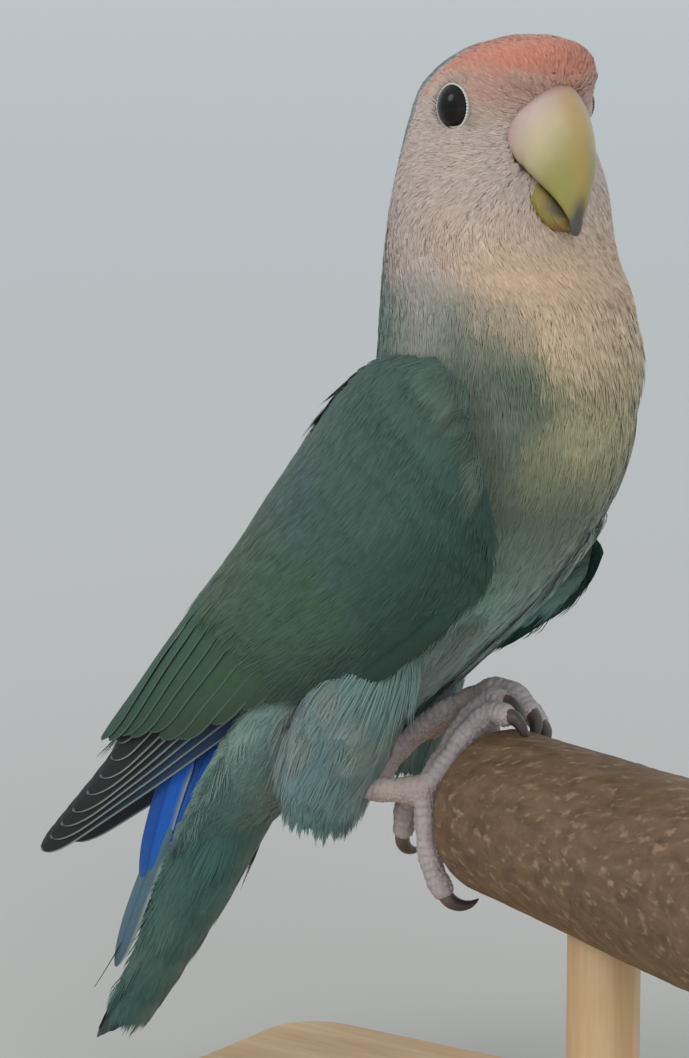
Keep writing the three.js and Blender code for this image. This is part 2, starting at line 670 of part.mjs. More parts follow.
const nostrils = [-1, 1].map((s) => ball(onHead(NOSTRIL.ahead, s * NOSTRIL.out, NOSTRIL.up), NOSTRIL.radius, 8, 5));
const eyes = [1, -1].map((s) => ball(eyePlace(s), EYE.radius));
const sockets = [1, -1].map((s) => ball(eyePlace(s), EYE.radius + GAP));
const skull = fuse([above(whole, HEAD_CUT), cereSolid(), lidRing(1), lidRing(-1)]);

place("head", largest(cut(skull, ...billSpace, ...sockets, ...nostrils)), "head");
place("bill_upper", largest(bills.upper), "bill");
place("bill_lower", largest(cut(bills.lower, billSpace[0])), "bill");
place("eye_right", eyes[0], "eye");
place("eye_left", eyes[1], "eye");
place("neck", largest(cut(above(below(whole, HEAD_CUT), NECK_CUT), ...billSpace)), "neck");
place("torso", largest(above(below(whole, NECK_CUT), TAIL_CUT)), "body");
place("tail", largest(cut(tail, wingRight, wingLeft)), "tail");
place("wing_right", wingRight, "wing");
place("wing_left", wingLeft, "wing");

for (const name of ["right", "left"]) {
  const thigh = limb(THIGHS[name].path, THIGHS[name].radii, 12, 8);
  const footRoom = footSolid(name, GAP);
  place(`thigh_${name}`, largest(cut(thigh, wholeGrown, wingRooms[name], footRoom)), "body");
  place(`foot_${name}`, largest(cut(footSolid(name), wholeGrown, perchRoom)), "foot");
  for (const [toe, horn] of clawSolids(name)) {
    place(`claw_${name}_${toe}`, largest(cut(horn, footRoom, perchRoom)), "claw");
  }
}
place("perch", perch, "perch");
place("stand_rod", rodSolid(perchRoom), "stand");
place("stand_base", standBase(), "stand");

export default bird;
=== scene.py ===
import math

import bpy
import numpy as np
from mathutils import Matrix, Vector
from mathutils.kdtree import KDTree


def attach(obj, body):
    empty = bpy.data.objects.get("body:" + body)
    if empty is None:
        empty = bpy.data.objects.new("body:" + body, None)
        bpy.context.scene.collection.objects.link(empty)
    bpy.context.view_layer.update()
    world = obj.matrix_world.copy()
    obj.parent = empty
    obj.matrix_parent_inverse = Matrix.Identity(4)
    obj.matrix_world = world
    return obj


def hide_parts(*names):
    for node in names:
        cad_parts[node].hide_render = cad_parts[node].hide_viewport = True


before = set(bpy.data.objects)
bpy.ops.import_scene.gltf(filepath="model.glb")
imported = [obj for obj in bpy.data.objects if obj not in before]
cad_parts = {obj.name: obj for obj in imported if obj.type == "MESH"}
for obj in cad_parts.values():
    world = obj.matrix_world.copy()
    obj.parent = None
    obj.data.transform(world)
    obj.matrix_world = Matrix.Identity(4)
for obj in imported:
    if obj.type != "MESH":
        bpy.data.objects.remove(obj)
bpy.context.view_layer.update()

# A peach-faced lovebird on a short perch and a plain stand. Points are in millimetres in the part's own
# frame until a mesh is made: +Z up, the bird faces +X, its right side is towards -Y.
MM = 0.001
rad = math.radians


# Maths on arrays of points
def unit(v):
    return v / np.maximum(np.linalg.norm(v, axis=-1, keepdims=True), 1e-9)


def dot(a, b):
    return np.sum(a * b, axis=-1)


def smooth(x, low, high):
    t = np.clip((x - low) / (high - low), 0, 1)
    return t * t * (3 - 2 * t)


def mix(a, b, t):
    t = np.asarray(t, float)
    a, b = np.asarray(a, float), np.asarray(b, float)
    if max(a.ndim, b.ndim) > t.ndim or (a.shape[-1:] == (3,) and t.shape[-1:] != (3,) and t.ndim):
        t = t[..., None]
    return a + (b - a) * t


def along(values, t):
    """A list read between its entries, smoothly, at t from 0 to 1."""
    v = np.asarray(values, float)
    at = np.clip(np.asarray(t, float), 0, 1) * (len(v) - 1)
    i = np.minimum(at.astype(int), len(v) - 2)
    f = at - i
    if v.ndim > 1:
        f = f[..., None]
    a, b = v[i], v[i + 1]
    slope_a = (b - v[np.maximum(i - 1, 0)]) / 2
    slope_b = (v[np.minimum(i + 2, len(v) - 1)] - a) / 2
    return (a * (2 * f**3 - 3 * f**2 + 1) + slope_a * (f**3 - 2 * f**2 + f)
            + b * (3 * f**2 - 2 * f**3) + slope_b * (f**3 - f**2))


def arc_length(path):
    """How far each point of a path lies from its start."""
    return np.concatenate([[0], np.cumsum(np.linalg.norm(np.diff(path, axis=0), axis=1))])


def once_round(count):
    return np.linspace(0, 2 * np.pi, count, endpoint=False)


def facing(n, way):
    """Normals, turned round where they point against a way."""
    return np.where(dot(n, way)[..., None] < 0, -n, n)


def staggered(draw, count, row, jitter, start=0):
    """Places from 0 to 1 along a row, every second row shifted and each place moved a little."""
    return (np.arange(count) + start + 0.5 * (row % 2) + draw.uniform(-jitter, jitter, count)) / count


def circles(centre, r, one, other, around):
    """Rings of points round a path, from two ways across it."""
    a = once_round(around)
    return centre[:, None] + r[:, None, None] * (one[:, None] * np.cos(a)[None, :, None]
                                                 + other[:, None] * np.sin(a)[None, :, None])


LATTICE = np.random.default_rng(3).random((24, 24, 24))


def noise(p, size, shift=0.0):
    """Smooth noise from -1 to 1 over points, with lumps of the given size."""
    q = np.asarray(p, float) / size + 100.0 + shift
    i = np.floor(q).astype(int)
    f = q - i
    f = f * f * (3 - 2 * f)
    total = 0
    for dx in (0, 1):
        for dy in (0, 1):
            for dz in (0, 1):
                w = ((f[..., 0] if dx else 1 - f[..., 0]) * (f[..., 1] if dy else 1 - f[..., 1])
                     * (f[..., 2] if dz else 1 - f[..., 2]))
                corner = (i + [dx, dy, dz]) % 24
                total = total + w * LATTICE[corner[..., 0], corner[..., 1], corner[..., 2]]
    return 2 * total - 1


def tree_of(points):
    tree = KDTree(len(points))
    for i, q in enumerate(points):
        tree.insert(Vector(q), i)
    tree.balance()
    return tree


def nearest(tree, points):
    return np.array([tree.find(Vector(q))[1] for q in points])


def rgb(r, g, b):
    """A colour given as on a screen, in linear light."""
    c = np.array([r, g, b], float) / 255
    return np.where(c <= 0.04045, c / 12.92, ((c + 0.055) / 1.055) ** 2.4)


# Body: the axis point, its lean from upright and its half widths to belly, back and side, tail root to crown
BODY = [
    (-49, 32, 32, 2.2, 1.4, 3.4), (-44, 40.5, 34, 3.4, 2.4, 5.4), (-38.5, 48.5, 37, 5.6, 3.6, 7.4),
    (-32, 56.5, 41, 7.8, 5, 9.8), (-24.5, 64.5, 44, 10.4, 7, 12.6), (-15.5, 74, 44, 11.4, 9.6, 14.6),
    (-7, 84, 39, 13.6, 12, 16), (0, 94.5, 28, 17.2, 14.2, 16.5), (4.6, 105, 15, 20.4, 15.8, 16),
    (6.6, 114, 6, 20, 16.4, 15.5), (7.2, 122, 1, 16.8, 16, 16), (7, 128.5, 0, 13.6, 15, 15.6),
    (6.8, 134.5, 0, 11.4, 13.6, 14.8), (6.6, 140.5, 0, 11, 12.6, 13.2), (6.8, 145.5, 0, 11.4, 11.8, 11.9),
    (8.2, 149.8, 0, 12, 11.6, 10.9), (10.4, 152.8, 0, 10.6, 10.6, 9.4), (12.2, 155, 0, 7.6, 8, 7),
    (13.2, 156.1, 0, 4.4, 4.8, 4.2),
]
CROWN = np.array([13, -2.2, 156.5])
HEAD_X, HEAD_Z, HEAD_YAW = 7, 146, rad(-20)
SKULL = np.array([HEAD_X, 0, HEAD_Z])
YAW_FROM, YAW_TO = 124, 137  # the heights between which the neck turns
CAP = 0.02  # the crown's cap takes up this much of u beyond 1
HEAD_FRONT = np.array([math.cos(HEAD_YAW), math.sin(HEAD_YAW), 0])
HEAD_RIGHT = np.array([math.sin(HEAD_YAW), -math.cos(HEAD_YAW), 0])
UP = np.array([0, 0, 1.0])


def on_head(ahead, right, up):
    """A point from its places ahead of the skull's centre, to the bird's right, and up."""
    ahead, right, up = np.broadcast_arrays(*[np.asarray(v, float)[..., None] for v in (ahead, right, up)])
    return SKULL + ahead * HEAD_FRONT + right * HEAD_RIGHT + up * UP


def head_places(p):
    q = p - SKULL
    return q @ HEAD_FRONT, q @ HEAD_RIGHT, q[..., 2]


def body_point(u, a, grow=0.0):
    u, a, grow = np.broadcast_arrays(np.asarray(u, float), np.asarray(a, float), np.asarray(grow, float))
    x, z, lean, belly, back, side = np.moveaxis(along(BODY, np.minimum(u, 1)), -1, 0)
    yaw = HEAD_YAW * smooth(z, YAW_FROM, YAW_TO)
    c, s = np.cos(yaw), np.sin(yaw)
    cl, sl = np.cos(np.radians(lean)), np.sin(np.radians(lean))
    front = np.stack([cl * c, cl * s, -sl], -1)
    right = np.stack([s, -c, 0 * s], -1)
    centre = np.stack([HEAD_X + (x - HEAD_X) * c, (x - HEAD_X) * s, z], -1)
    # The change from belly depth to back depth is eased over the side
    depth = mix(back, belly, smooth(np.cos(a), -0.05, 0.05)) + grow
    p = centre + front * (depth * np.cos(a))[..., None] + right * ((side + grow) * np.sin(a))[..., None]
    w = np.clip((u - 1) / CAP, 0, 1)
    cap = CROWN + UP * grow[..., None]
    p = p * (1 - w)[..., None] + cap * w[..., None]
    p[..., 2] += 0.25 * np.sin(np.pi * w)
    return p


def frame_on(surface, u, a, du=2e-3, da=0.02):
    """Point, outward normal and the way along u of a surface given by two numbers."""
    p = surface(u, a)
    pu = surface(u + du, a) - surface(u - du, a)
    pa = surface(u, a + da) - surface(u, a - da)
    n = unit(np.cross(pu, pa))
    return p, n, unit(pu)


def body_frame(u, a):
    u = np.clip(u, 0.002, 1 + CAP * 0.97)
    p, n, way = frame_on(body_point, u, a)
    middle = body_point(u, a, -3.0)
    n = facing(n, p - middle)
    return p, n, way


# Thighs: feathered lobes from the belly to the ankle
THIGHS = {
    "right": ([(-3, -8, 81), (-7.5, -10.4, 71), (-11.5, -11.6, 61.5), (-13.6, -12, 52.6)],
              (6.0, 7.3, 5.8, 3.4)),
    "left": ([(-6, 8, 81), (-10, 9.4, 72), (-12.8, 9.6, 64), (-14, 9.6, 57.6)],
             (5.0, 5.8, 4.6, 3.2)),
}


def tube(path, radii, t, a, grow=0.0):
    """A round limb along a smooth path."""
    t = np.asarray(t, float)
    centre = along(path, t)
    ahead = unit(along(path, np.minimum(t + 0.02, 1)) - along(path, np.maximum(t - 0.02, 0)))
    side = unit(np.cross(np.broadcast_to([0, 1.0, 0], ahead.shape), ahead))
    other = np.cross(ahead, side)
    r = (along(radii, t) + grow)[..., None]
    return centre + side * r * np.cos(a)[..., None] + other * r * np.sin(a)[..., None]


# Wing surface for the right side: lower edge, middle and back edge at stations from the bend to the tip
WING = np.array([
    [(17, -16.6, 101.5), (9.2, -19.4, 115), (-10.8, -9, 118.4)],
    [(15.6, -17.4, 91.2), (2.2, -19.9, 104.6), (-17, -5, 109.6)],
    [(7, -17.2, 82), (-8, -18.6, 94), (-24.4, -3.4, 97.8)],
    [(-8, -15, 73.2), (-21, -15, 82.8), (-34.8, -2.8, 83.2)],
    [(-24, -11.4, 64.2), (-35, -10, 71.8), (-45.8, -2.4, 69.8)],
    [(-44, -7.6, 52.2), (-50, -6.8, 57.2), (-57, -3.4, 56.4)],
    [(-69.2, -5.8, 38.4), (-69.6, -5.2, 40.6), (-69.8, -4.6, 42.2)],
])


def wing_point(a, b):
    a, b = np.broadcast_arrays(np.asarray(a, float), np.asarray(b, float))
    before = np.minimum(a, 0)[..., None]  # ahead of the bend the surface runs on straight
    low, mid, back = (along(WING[:, k], a) + before * 14 * (WING[1, k] - WING[0, k]) / 6 for k in range(3))
    w = [2 * (b - 0.5) * (b - 1), 4 * b * (1 - b), 2 * b * (b - 0.5)]
    return low * w[0][..., None] + mid * w[1][..., None] + back * w[2][..., None]


def wing_frame(a, b):
    """Point, outward normal and the way to the tip on the right wing's surface."""
    step = 0.02
    a0, a1 = np.minimum(a, 0.98) - step, np.minimum(a + step, 1)
    b0, b1 = b - step, b + step
    way = unit(wing_point(a1, b) - wing_point(a0, b))
    out = unit(np.cross(way, wing_point(a, b1) - wing_point(a, b0)))
    out = np.where(out[..., 1:2] > 0, -out, out)
    return wing_point(a, b), out, way


# Plumage colours, as the photo's soft light shows them
C = {
    "salmon": rgb(206, 138, 116), "brow": rgb(190, 150, 134), "face": rgb(196, 178, 166),
    "cheek": rgb(196, 178, 168), "throat": rgb(206, 178, 150), "bib": rgb(196, 176, 146),
    "breast": rgb(160, 154, 120), "olive": rgb(98, 110, 92), "side": rgb(110, 124, 108),
    "shoulder": rgb(152, 154, 142), "belly": rgb(124, 156, 146), "vent": rgb(94, 124, 120),
    "nape": rgb(110, 132, 122),
    "mantle": rgb(74, 104, 90), "rump": rgb(30, 88, 176), "under_tail": rgb(58, 98, 94),
    "thigh": rgb(102, 130, 130), "thigh_low": rgb(84, 116, 114),
    "covert": rgb(62, 90, 80), "covert_blue": rgb(66, 92, 90), "covert_dark": rgb(46, 70, 62),
    "covert_back": rgb(66, 96, 80), "secondary": rgb(62, 88, 64), "secondary_tip": rgb(58, 92, 78),
    "primary": rgb(34, 42, 46), "primary_brown": rgb(40, 36, 36), "primary_blue": rgb(38, 62, 92),
    "edge": rgb(138, 148, 142), "tail": rgb(52, 90, 84), "tail_blue": rgb(44, 80, 108),
    "tail_slate": rgb(98, 126, 134), "tail_dark": rgb(40, 50, 56), "painted_light_edge": rgb(140, 176, 168),
    "bill_base": rgb(204, 178, 176), "bill_side": rgb(194, 180, 142), "bill_low": rgb(156, 150, 82),
    "bill_ridge": rgb(186, 152, 84), "bill_tip": rgb(84, 80, 72), "bill_under": rgb(146, 132, 66),
    "mouth": rgb(58, 32, 28), "cere": rgb(204, 160, 146),
    "lid": rgb(226, 224, 216), "lid_skin": rgb(170, 158, 150),
    "foot": rgb(192, 182, 184), "foot_crease_shade": rgb(128, 104, 98), "shin": rgb(190, 166, 150),
    "claw": rgb(52, 44, 42), "claw_root": rgb(98, 84, 78),
}


def plumage(p, front):
    """Colour of the body's feathers at a point. front is 1 where the surface faces ahead, -1 at the back."""
    x, z = p[..., 0], p[..., 2]
    ahead, right, up = head_places(p)
    wob = noise(p, 6.0) * 2.2 + noise(p, 2.2, 9) * 0.9
    ahead_face = smooth(front + wob * 0.03, 0.1, 0.8)
    # From the breast down
    breast = mix(C["olive"], C["breast"], smooth(z + wob, 99, 112) * smooth(front + 0.03 * wob, 0.55, 0.97))
    breast = mix(C["side"], breast, ahead_face)
    low = mix(C["belly"], breast, smooth(z + wob, 84, 100))
    flank = mix(C["side"], C["shoulder"], smooth(z + wob, 97, 110))
    low = mix(flank, low, mix(smooth(front + wob * 0.04, -0.25, 0.45), 1.0, smooth(z, 104, 92)))
    low = mix(low, C["vent"], smooth(z + wob, 80, 66) * smooth(front, -0.2, 0.4))
    low = mix(low, C["under_tail"], smooth(x + wob, -22, -31) * smooth(front, -0.3, 0.2))
    back = mix(C["mantle"], C["nape"], smooth(z + wob, 112, 124))
    back = mix(back, C["rump"], smooth(x + 0.5 * wob, -27, -31) * smooth(z, 100, 80)
               * smooth(front, -0.7, -0.9))
    on_tail = smooth(x, -34, -40)
    low = mix(back, low, smooth(front + wob * 0.03 - 0.45 * on_tail, -0.62, -0.2))
    # The bib and the face
    bib = mix(C["bib"], C["throat"], smooth(z + wob, 116, 128))
    bib = mix(C["cheek"], bib, smooth(front, 0.0, 0.7))
    edge_z = 128 - 10 * smooth(front, 0.1, 0.95)
    high = mix(low, bib, smooth(z + 1.3 * wob, edge_z - 6, edge_z + 4))
    high = mix(back, high, smooth(front + wob * 0.035, -0.86, -0.52))
    face = mix(C["cheek"], C["face"], smooth(ahead, 0, 8))
    face = mix(face, C["brow"], smooth(up + 0.3 * wob, -2.5, 3.0) * smooth(ahead, 2, 9))
    face = mix(high, face, smooth(z, 128, 138))
    # Salmon over the forehead, above the eye and just behind it
    line = 3.2 + 1.6 * smooth(np.abs(right), 4, 9) - 2.6 * smooth(ahead, 4, -2)
    behind = ahead + 0.3 * wob - np.interp(up, [-22, -8, -2, 3, 6, 9], [-8.5, -5.5, -2.8, -1.8, 1.0, 3.0])
    salmon = smooth(up + 0.35 * wob, line - 1.2, line + 2.2) * smooth(behind, -0.8, 1.2)
    crown = mix(C["nape"], face, smooth(behind, -2.0, 0.0))
    # Painted shade: a greyer spot on each side of the face, ahead of the eye by the bill's base
    lore_shade = np.exp(-(((ahead - 7.4) / 1.5) ** 2) - ((up + 0.4) / 1.5) ** 2) * smooth(np.abs(right), 4, 7)
    face = mix(face, rgb(132, 128, 116), 0.5 * lore_shade)
    out = mix(face, crown, smooth(z, 116, 124) * (1 - lore_shade))
    return mix(out, C["salmon"], salmon)


# Materials
def node_tree(name, rough=0.7, **sockets):
    material = bpy.data.materials.new(name)
    material.use_nodes = True
    nodes, links = material.node_tree.nodes, material.node_tree.links
    shader = nodes["Principled BSDF"]
    shader.inputs["Roughness"].default_value = rough
    for key, value in sockets.items():
        shader.inputs[key.replace("_", " ")].default_value = value
    return material, nodes, links, shader


def node(nodes, kind, **inputs):
    made = nodes.new("ShaderNode" + kind)
    for key, value in inputs.items():
        made.inputs[key.replace("_", " ")].default_value = value
    return made


def colour_between(nodes, links, share, low, high):
    """The output of a mix of two colours, each a value or another node's output."""
    blend = nodes.new("ShaderNodeMix")
    blend.data_type = "RGBA"
    links.new(share, blend.inputs["Factor"])
    for place, colour in ((6, low), (7, high)):
        if isinstance(colour, bpy.types.NodeSocket):
            links.new(colour, blend.inputs[place])
        else:
            blend.inputs[place].default_value = (*colour, 1)
    return blend.outputs[2]


def painted(nodes, links, shader, scale, detail, low, high, rough=0.5):
    """The mesh's own colours, made darker and lighter from low to high by fine noise, which is returned."""
    grain = node(nodes, "TexNoise", Scale=scale, Detail=detail, Roughness=rough)
    ramp = node(nodes, "MapRange", To_Min=low, To_Max=high)
    times = nodes.new("ShaderNodeVectorMath")
    times.operation = "SCALE"
    links.new(grain.outputs["Fac"], ramp.inputs["Value"])
    links.new(mesh_value(nodes, "colour").outputs["Color"], times.inputs[0])
    links.new(ramp.outputs["Result"], times.inputs["Scale"])
    links.new(times.outputs["Vector"], shader.inputs["Base Color"])
    return grain.outputs["Fac"]


def mesh_value(nodes, name):
    node = nodes.new("ShaderNodeAttribute")
    node.attribute_name = name
    return node


def coat_material(name, rough, streak, **sockets):
    """Painted by the mesh's own colours, broken up by fine noise."""
    material, nodes, links, shader = node_tree(name, rough, **sockets)
    painted(nodes, links, shader, 900, 2, 1 - streak, 1 + streak)
    return material


def bump_chain(nodes, links, shader, source, strength, distance):
    bump = nodes.new("ShaderNodeBump")
    bump.inputs["Strength"].default_value = strength
    bump.inputs["Distance"].default_value = distance
    links.new(source, bump.inputs["Height"])
    links.new(bump.outputs["Normal"], shader.inputs["Normal"])


COAT = coat_material("feather_coat", 0.8, 0.12, Specular_IOR_Level=0.25, Sheen_Weight=0.25,
                     Sheen_Roughness=0.6)
WING_COAT = coat_material("wing_coat", 0.62, 0.12, Specular_IOR_Level=0.3, Sheen_Weight=0.15,
                          Sheen_Roughness=0.5)


BARB_RELIEF = 0.00008  # metres


def vane_material(name, rough, **sockets):
    """Firm feathers: the mesh's colours, with fine barbs raised at a slant to the shaft."""
    material, nodes, links, shader = node_tree(name, rough, **sockets)
    links.new(mesh_value(nodes, "colour").outputs["Color"], shader.inputs["Base Color"])
    wave = nodes.new("ShaderNodeMath")
    wave.operation = "SINE"
    links.new(mesh_value(nodes, "barb").outputs["Fac"], wave.inputs[0])
    bump_chain(nodes, links, shader, wave.outputs["Value"], 0.35, BARB_RELIEF)
    return material


VANE = vane_material("flight_feather", 0.6, Specular_IOR_Level=0.18, Sheen_Weight=0.04)
PIECES = []


def linked(name, data):
    """A new object in the scene."""
    obj = bpy.data.objects.new(name, data)
    bpy.context.scene.collection.objects.link(obj)
    return obj


def paint_mesh(mesh, colours):
    layer = mesh.color_attributes.new("colour", "FLOAT_COLOR", "POINT")
    rgba = np.ones((len(colours), 4), np.float32)
    rgba[:, :3] = colours
    layer.data.foreach_set("color", rgba.ravel())


def voxel_joined(name, verts, faces, voxel):
    """Closed surfaces joined into one by voxels and softened, and the places of its points."""
    mesh = bpy.data.meshes.new(name)
    mesh.from_pydata((np.concatenate(verts) * MM).tolist(), [], faces)
    raw = linked(name, mesh)
    remesh = raw.modifiers.new("join", "REMESH")
    remesh.mode = "VOXEL"
    remesh.voxel_size = voxel * MM
    soften = raw.modifiers.new("soften", "SMOOTH")
    soften.iterations = 3
    done = bpy.data.meshes.new_from_object(raw.evaluated_get(bpy.context.evaluated_depsgraph_get()))
    bpy.data.objects.remove(raw)
    places = np.empty(len(done.vertices) * 3)
    done.vertices.foreach_get("co", places)
    return done, places.reshape(-1, 3) / MM


def make(name, points, faces, material, slot, colours=None, uv=None, barb=None, replaces=(), soft=None):
    """A piece from arrays: points in millimetres and faces of one size."""
    mesh = bpy.data.meshes.new(name)
    size = faces.shape[1]
    mesh.vertices.add(len(points))
    mesh.vertices.foreach_set("co", (np.asarray(points) * MM).astype(np.float32).ravel())
    mesh.loops.add(faces.size)
    mesh.loops.foreach_set("vertex_index", faces.astype(np.int32).ravel())
    mesh.polygons.add(len(faces))
    mesh.polygons.foreach_set("loop_start", np.arange(0, faces.size, size, dtype=np.int32))
    mesh.update(calc_edges=True)
    mesh.shade_smooth()
    if soft is not None:
        mesh.normals_split_custom_set_from_vertices(soft.tolist())
    if colours is not None:
        paint_mesh(mesh, np.clip(colours, 0, 1))
    if barb is not None:
        layer = mesh.attributes.new("barb", "FLOAT", "POINT")
        layer.data.foreach_set("value", np.asarray(barb, np.float32))
    if uv is not None:
        layer = mesh.uv_layers.new(name="OFBake")
        layer.data.foreach_set("uv", uv[faces.ravel()].astype(np.float32).ravel())
    mesh.materials.append(material)
    obj = linked(name, mesh)
    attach(obj, "root")
    if replaces:
        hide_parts(*replaces)
    PIECES.append((name, len(faces) * (size - 2)))


def grid_faces(rows, cols):
    """Quads over rows of points, closed round each row."""
    i, j = np.meshgrid(np.arange(rows - 1), np.arange(cols), indexing="ij")
    a = i * cols + j
    b = i * cols + (j + 1) % cols
    return np.stack([a, b, b + cols, a + cols], -1).reshape(-1, 4)


def plate(top, under):
    """A closed thin plate from its upper and under faces, each rows of points."""
    rows, cols = top.shape[:2]
    caps = []
    for start in (0, (rows - 1) * 2 * cols):
        for j in range(cols - 1):
            cap = (start + j, start + j + 1, start + 2 * cols - 2 - j, start + 2 * cols - 1 - j)
            caps.append(cap if start else cap[::-1])
    return both_faces(top, under).reshape(-1, 3), np.concatenate([grid_faces(rows, 2 * cols), np.array(caps)])


def both_faces(top, under=None):
    """Values on a plate's upper face, then on its under face from the far edge back."""
    return np.concatenate([top, (top if under is None else under)[:, ::-1]], 1)


# Tufts: each a small feather of separate barbs that spring from its shaft
PATCH = 0.0014  # half the size of a tuft's patch on the bake map


def tufts(root, normal, lie, length, half, lift, barbs, rows, wide, colour, uv, drop, drop_side,
          round_tip=0.3, fray=0.12, spring=0.45, camber=0.1, sink=0.25, roll=0.2, dark_root=0.88, lean=0.05,
          silky=2.4, seed=1):
    """Points, faces, colours and bake places of many feathers at once."""
    draw = np.random.default_rng(seed)
    n = len(root)
    side = unit(np.cross(normal, lie))
    s = np.linspace(-1, 1, barbs)[None, :] + draw.normal(0, 0.5 / barbs, (n, barbs))
    s = np.clip(s, -1.1, 1.1)
    t = np.linspace(0, 1, rows)
    length, half, lift = (np.broadcast_to(v, (n,))[:, None] for v in (length, half, lift))
    begin = length * (0.05 + spring * (1 - np.abs(s)))
    end = length * (1 - round_tip * s**2) * (1 + draw.normal(0, fray, (n, barbs)))
    end = np.maximum(end, begin + 0.2 * length)
    x = begin[..., None] + (end - begin)[..., None] * t
    y = (half * s)[..., None] * (1 - (1 - t) ** silky)
    rise = 1 - (1 - np.minimum(x / (0.55 * length[..., None]), 1)) ** 2
    lean = draw.normal(0, lean, (n, barbs))[..., None] * t
    z = (lift[..., None] * rise - sink - (camber * half)[..., None] * (s**2)[..., None]
         - drop[:, None, None] * x**2 - drop_side[:, None, None] * y**2 + lean)
    # Half width of each barb, tapering to a point
    stout = (1 + draw.normal(0, 0.15, (n, barbs)))[..., None]
    w = 0.5 * wide * (1 - 0.35 * t) * np.where(t < 1, 1, 0) * stout
    dx = np.gradient(x, axis=-1)
    dy = np.gradient(y, axis=-1)
    norm = np.maximum(np.hypot(dx, dy), 1e-6)
    dx, dy = dx / norm, dy / norm
    tilt = draw.normal(0, roll, (n, barbs))[..., None]
    mid = (root[:, None, None] + lie[:, None, None] * x[..., None] + side[:, None, None] * y[..., None]
           + normal[:, None, None] * z[..., None])
    over = (-lie[:, None, None] * dy[..., None] + side[:, None, None] * dx[..., None]
            + normal[:, None, None] * tilt[..., None])
    left = mid[:, :, :-1] - over[:, :, :-1] * w[..., :-1, None]
    right = mid[:, :, :-1] + over[:, :, :-1] * w[..., :-1, None]
    tip = mid[:, :, -1:]
    points = np.concatenate([left, right, tip], 2)
    per = 2 * rows - 1
    m = rows - 1
    strip = []
    for r in range(m - 1):
        strip += [(m + r, r, m + r + 1), (m + r + 1, r, r + 1)]
    strip.append((2 * m - 1, m - 1, 2 * m))
    faces = (np.arange(n * barbs)[:, None, None] * per + np.array(strip)[None]).reshape(-1, 3)
    # Painted shade: each barb is drawn darker towards its root, under the feathers that lie over it, and a
    # little lighter at its tip
    shade = dark_root + (1.06 - dark_root) * np.minimum(t * 1.4, 1)
    shade = np.concatenate([shade[:-1], shade[:-1], shade[-1:]])
    per_barb = 1 + draw.normal(0, 0.07, (n, barbs))
    colours = colour[:, None, None, :] * shade[None, None, :, None] * per_barb[..., None, None]
    wx, wy = (np.concatenate([v[:, :, :-1], v[:, :, :-1], v[:, :, -1:]], 2) for v in (x, y))
    px, py = wx / length[..., None] - 0.5, wy / np.maximum(half[..., None], 1e-6)
    patch = uv[:, None, None, :] + PATCH * np.stack([py, px], -1)
    # Shading follows the body's own surface, so the coat reads as soft
    sway = draw.normal(0, 0.1, (n, barbs))[..., None, None]
    soft = unit(normal[:, None, None] + lie[:, None, None] * (2 * drop[:, None, None] * wx)[..., None]
                + side[:, None, None] * ((2 * drop_side[:, None, None] * wy)[..., None] + sway))
    return points.reshape(-1, 3), faces, colours.reshape(-1, 3), patch.reshape(-1, 2), soft.reshape(-1, 3)


def merge(parts):
    """Several sets of points, faces and what goes with the points as one."""
    start, out = 0, [[] for _ in parts[0]]
    for part in parts:
        for k, values in enumerate(part):
            out[k].append(values + start if k == 1 else values)
        start += len(part[0])
    return [np.concatenate(o) for o in out]


# Where the feathers grow from: rows round the body, staggered and jittered
def rows_on_body(u_from, u_to, row_gap, gap, seed):
    draw = np.random.default_rng(seed)
    us = np.linspace(0, 1 + CAP, 900)
    spine = body_point(us, np.full_like(us, math.pi / 2))
    arc = arc_length(spine)
    s0, s1 = np.interp([u_from, u_to], us, arc)
    out = []
    for k, s in enumerate(np.arange(s0, s1, row_gap)):
        u = np.interp(s, arc, us)
        ring = np.linspace(-math.pi, math.pi, 97)
        ring_arc = arc_length(body_point(np.full_like(ring, u), ring))
        count = max(int(ring_arc[-1] / gap), 3)
        places = staggered(draw, count, k, 0.35) * ring_arc[-1]
        a = np.interp(places % ring_arc[-1], ring_arc, ring)
        du = draw.uniform(-0.4, 0.4, count) * row_gap / max(arc[-1], 1) * (1 + CAP)
        out.append(np.stack([np.clip(u + du, 0.003, 1 + CAP * 0.96), a], -1))
    return np.concatenate(out)


# The wings' outer faces as a cloud, to find what lies under them
grid_a, grid_b = np.meshgrid(np.linspace(0, 1, 90), np.linspace(0, 1, 40), indexing="ij")
cloud, cloud_out, _ = wing_frame(grid_a.ravel(), grid_b.ravel())
WING_TREE = tree_of(cloud)
CLOUD_AB = np.stack([grid_a.ravel(), grid_b.ravel()], -1)


def back_limit(a):
    """How far back the wing's feathers reach: near its bend the mantle covers them."""
    return np.interp(a, [-0.04, 0.0, 0.04, 0.13, 0.3, 0.5], [0.6, 0.7, 0.8, 0.9, 1.03, 1.02])


def front_limit(a, far=0.0):
    """Where the wing's feathers begin behind its leading edge. The far wing is drawn further back."""
    near = np.interp(a, [-0.04, 0.0, 0.05], [0.34, 0.12, 0.0])
    return near + far * np.interp(a, [0.0, 0.08, 0.17, 0.26], [0.12, 0.26, 0.18, 0.0])


ABOVE_WING, WING_REACH = 0.4, 9  # how far over its surface and how far away still counts as beneath


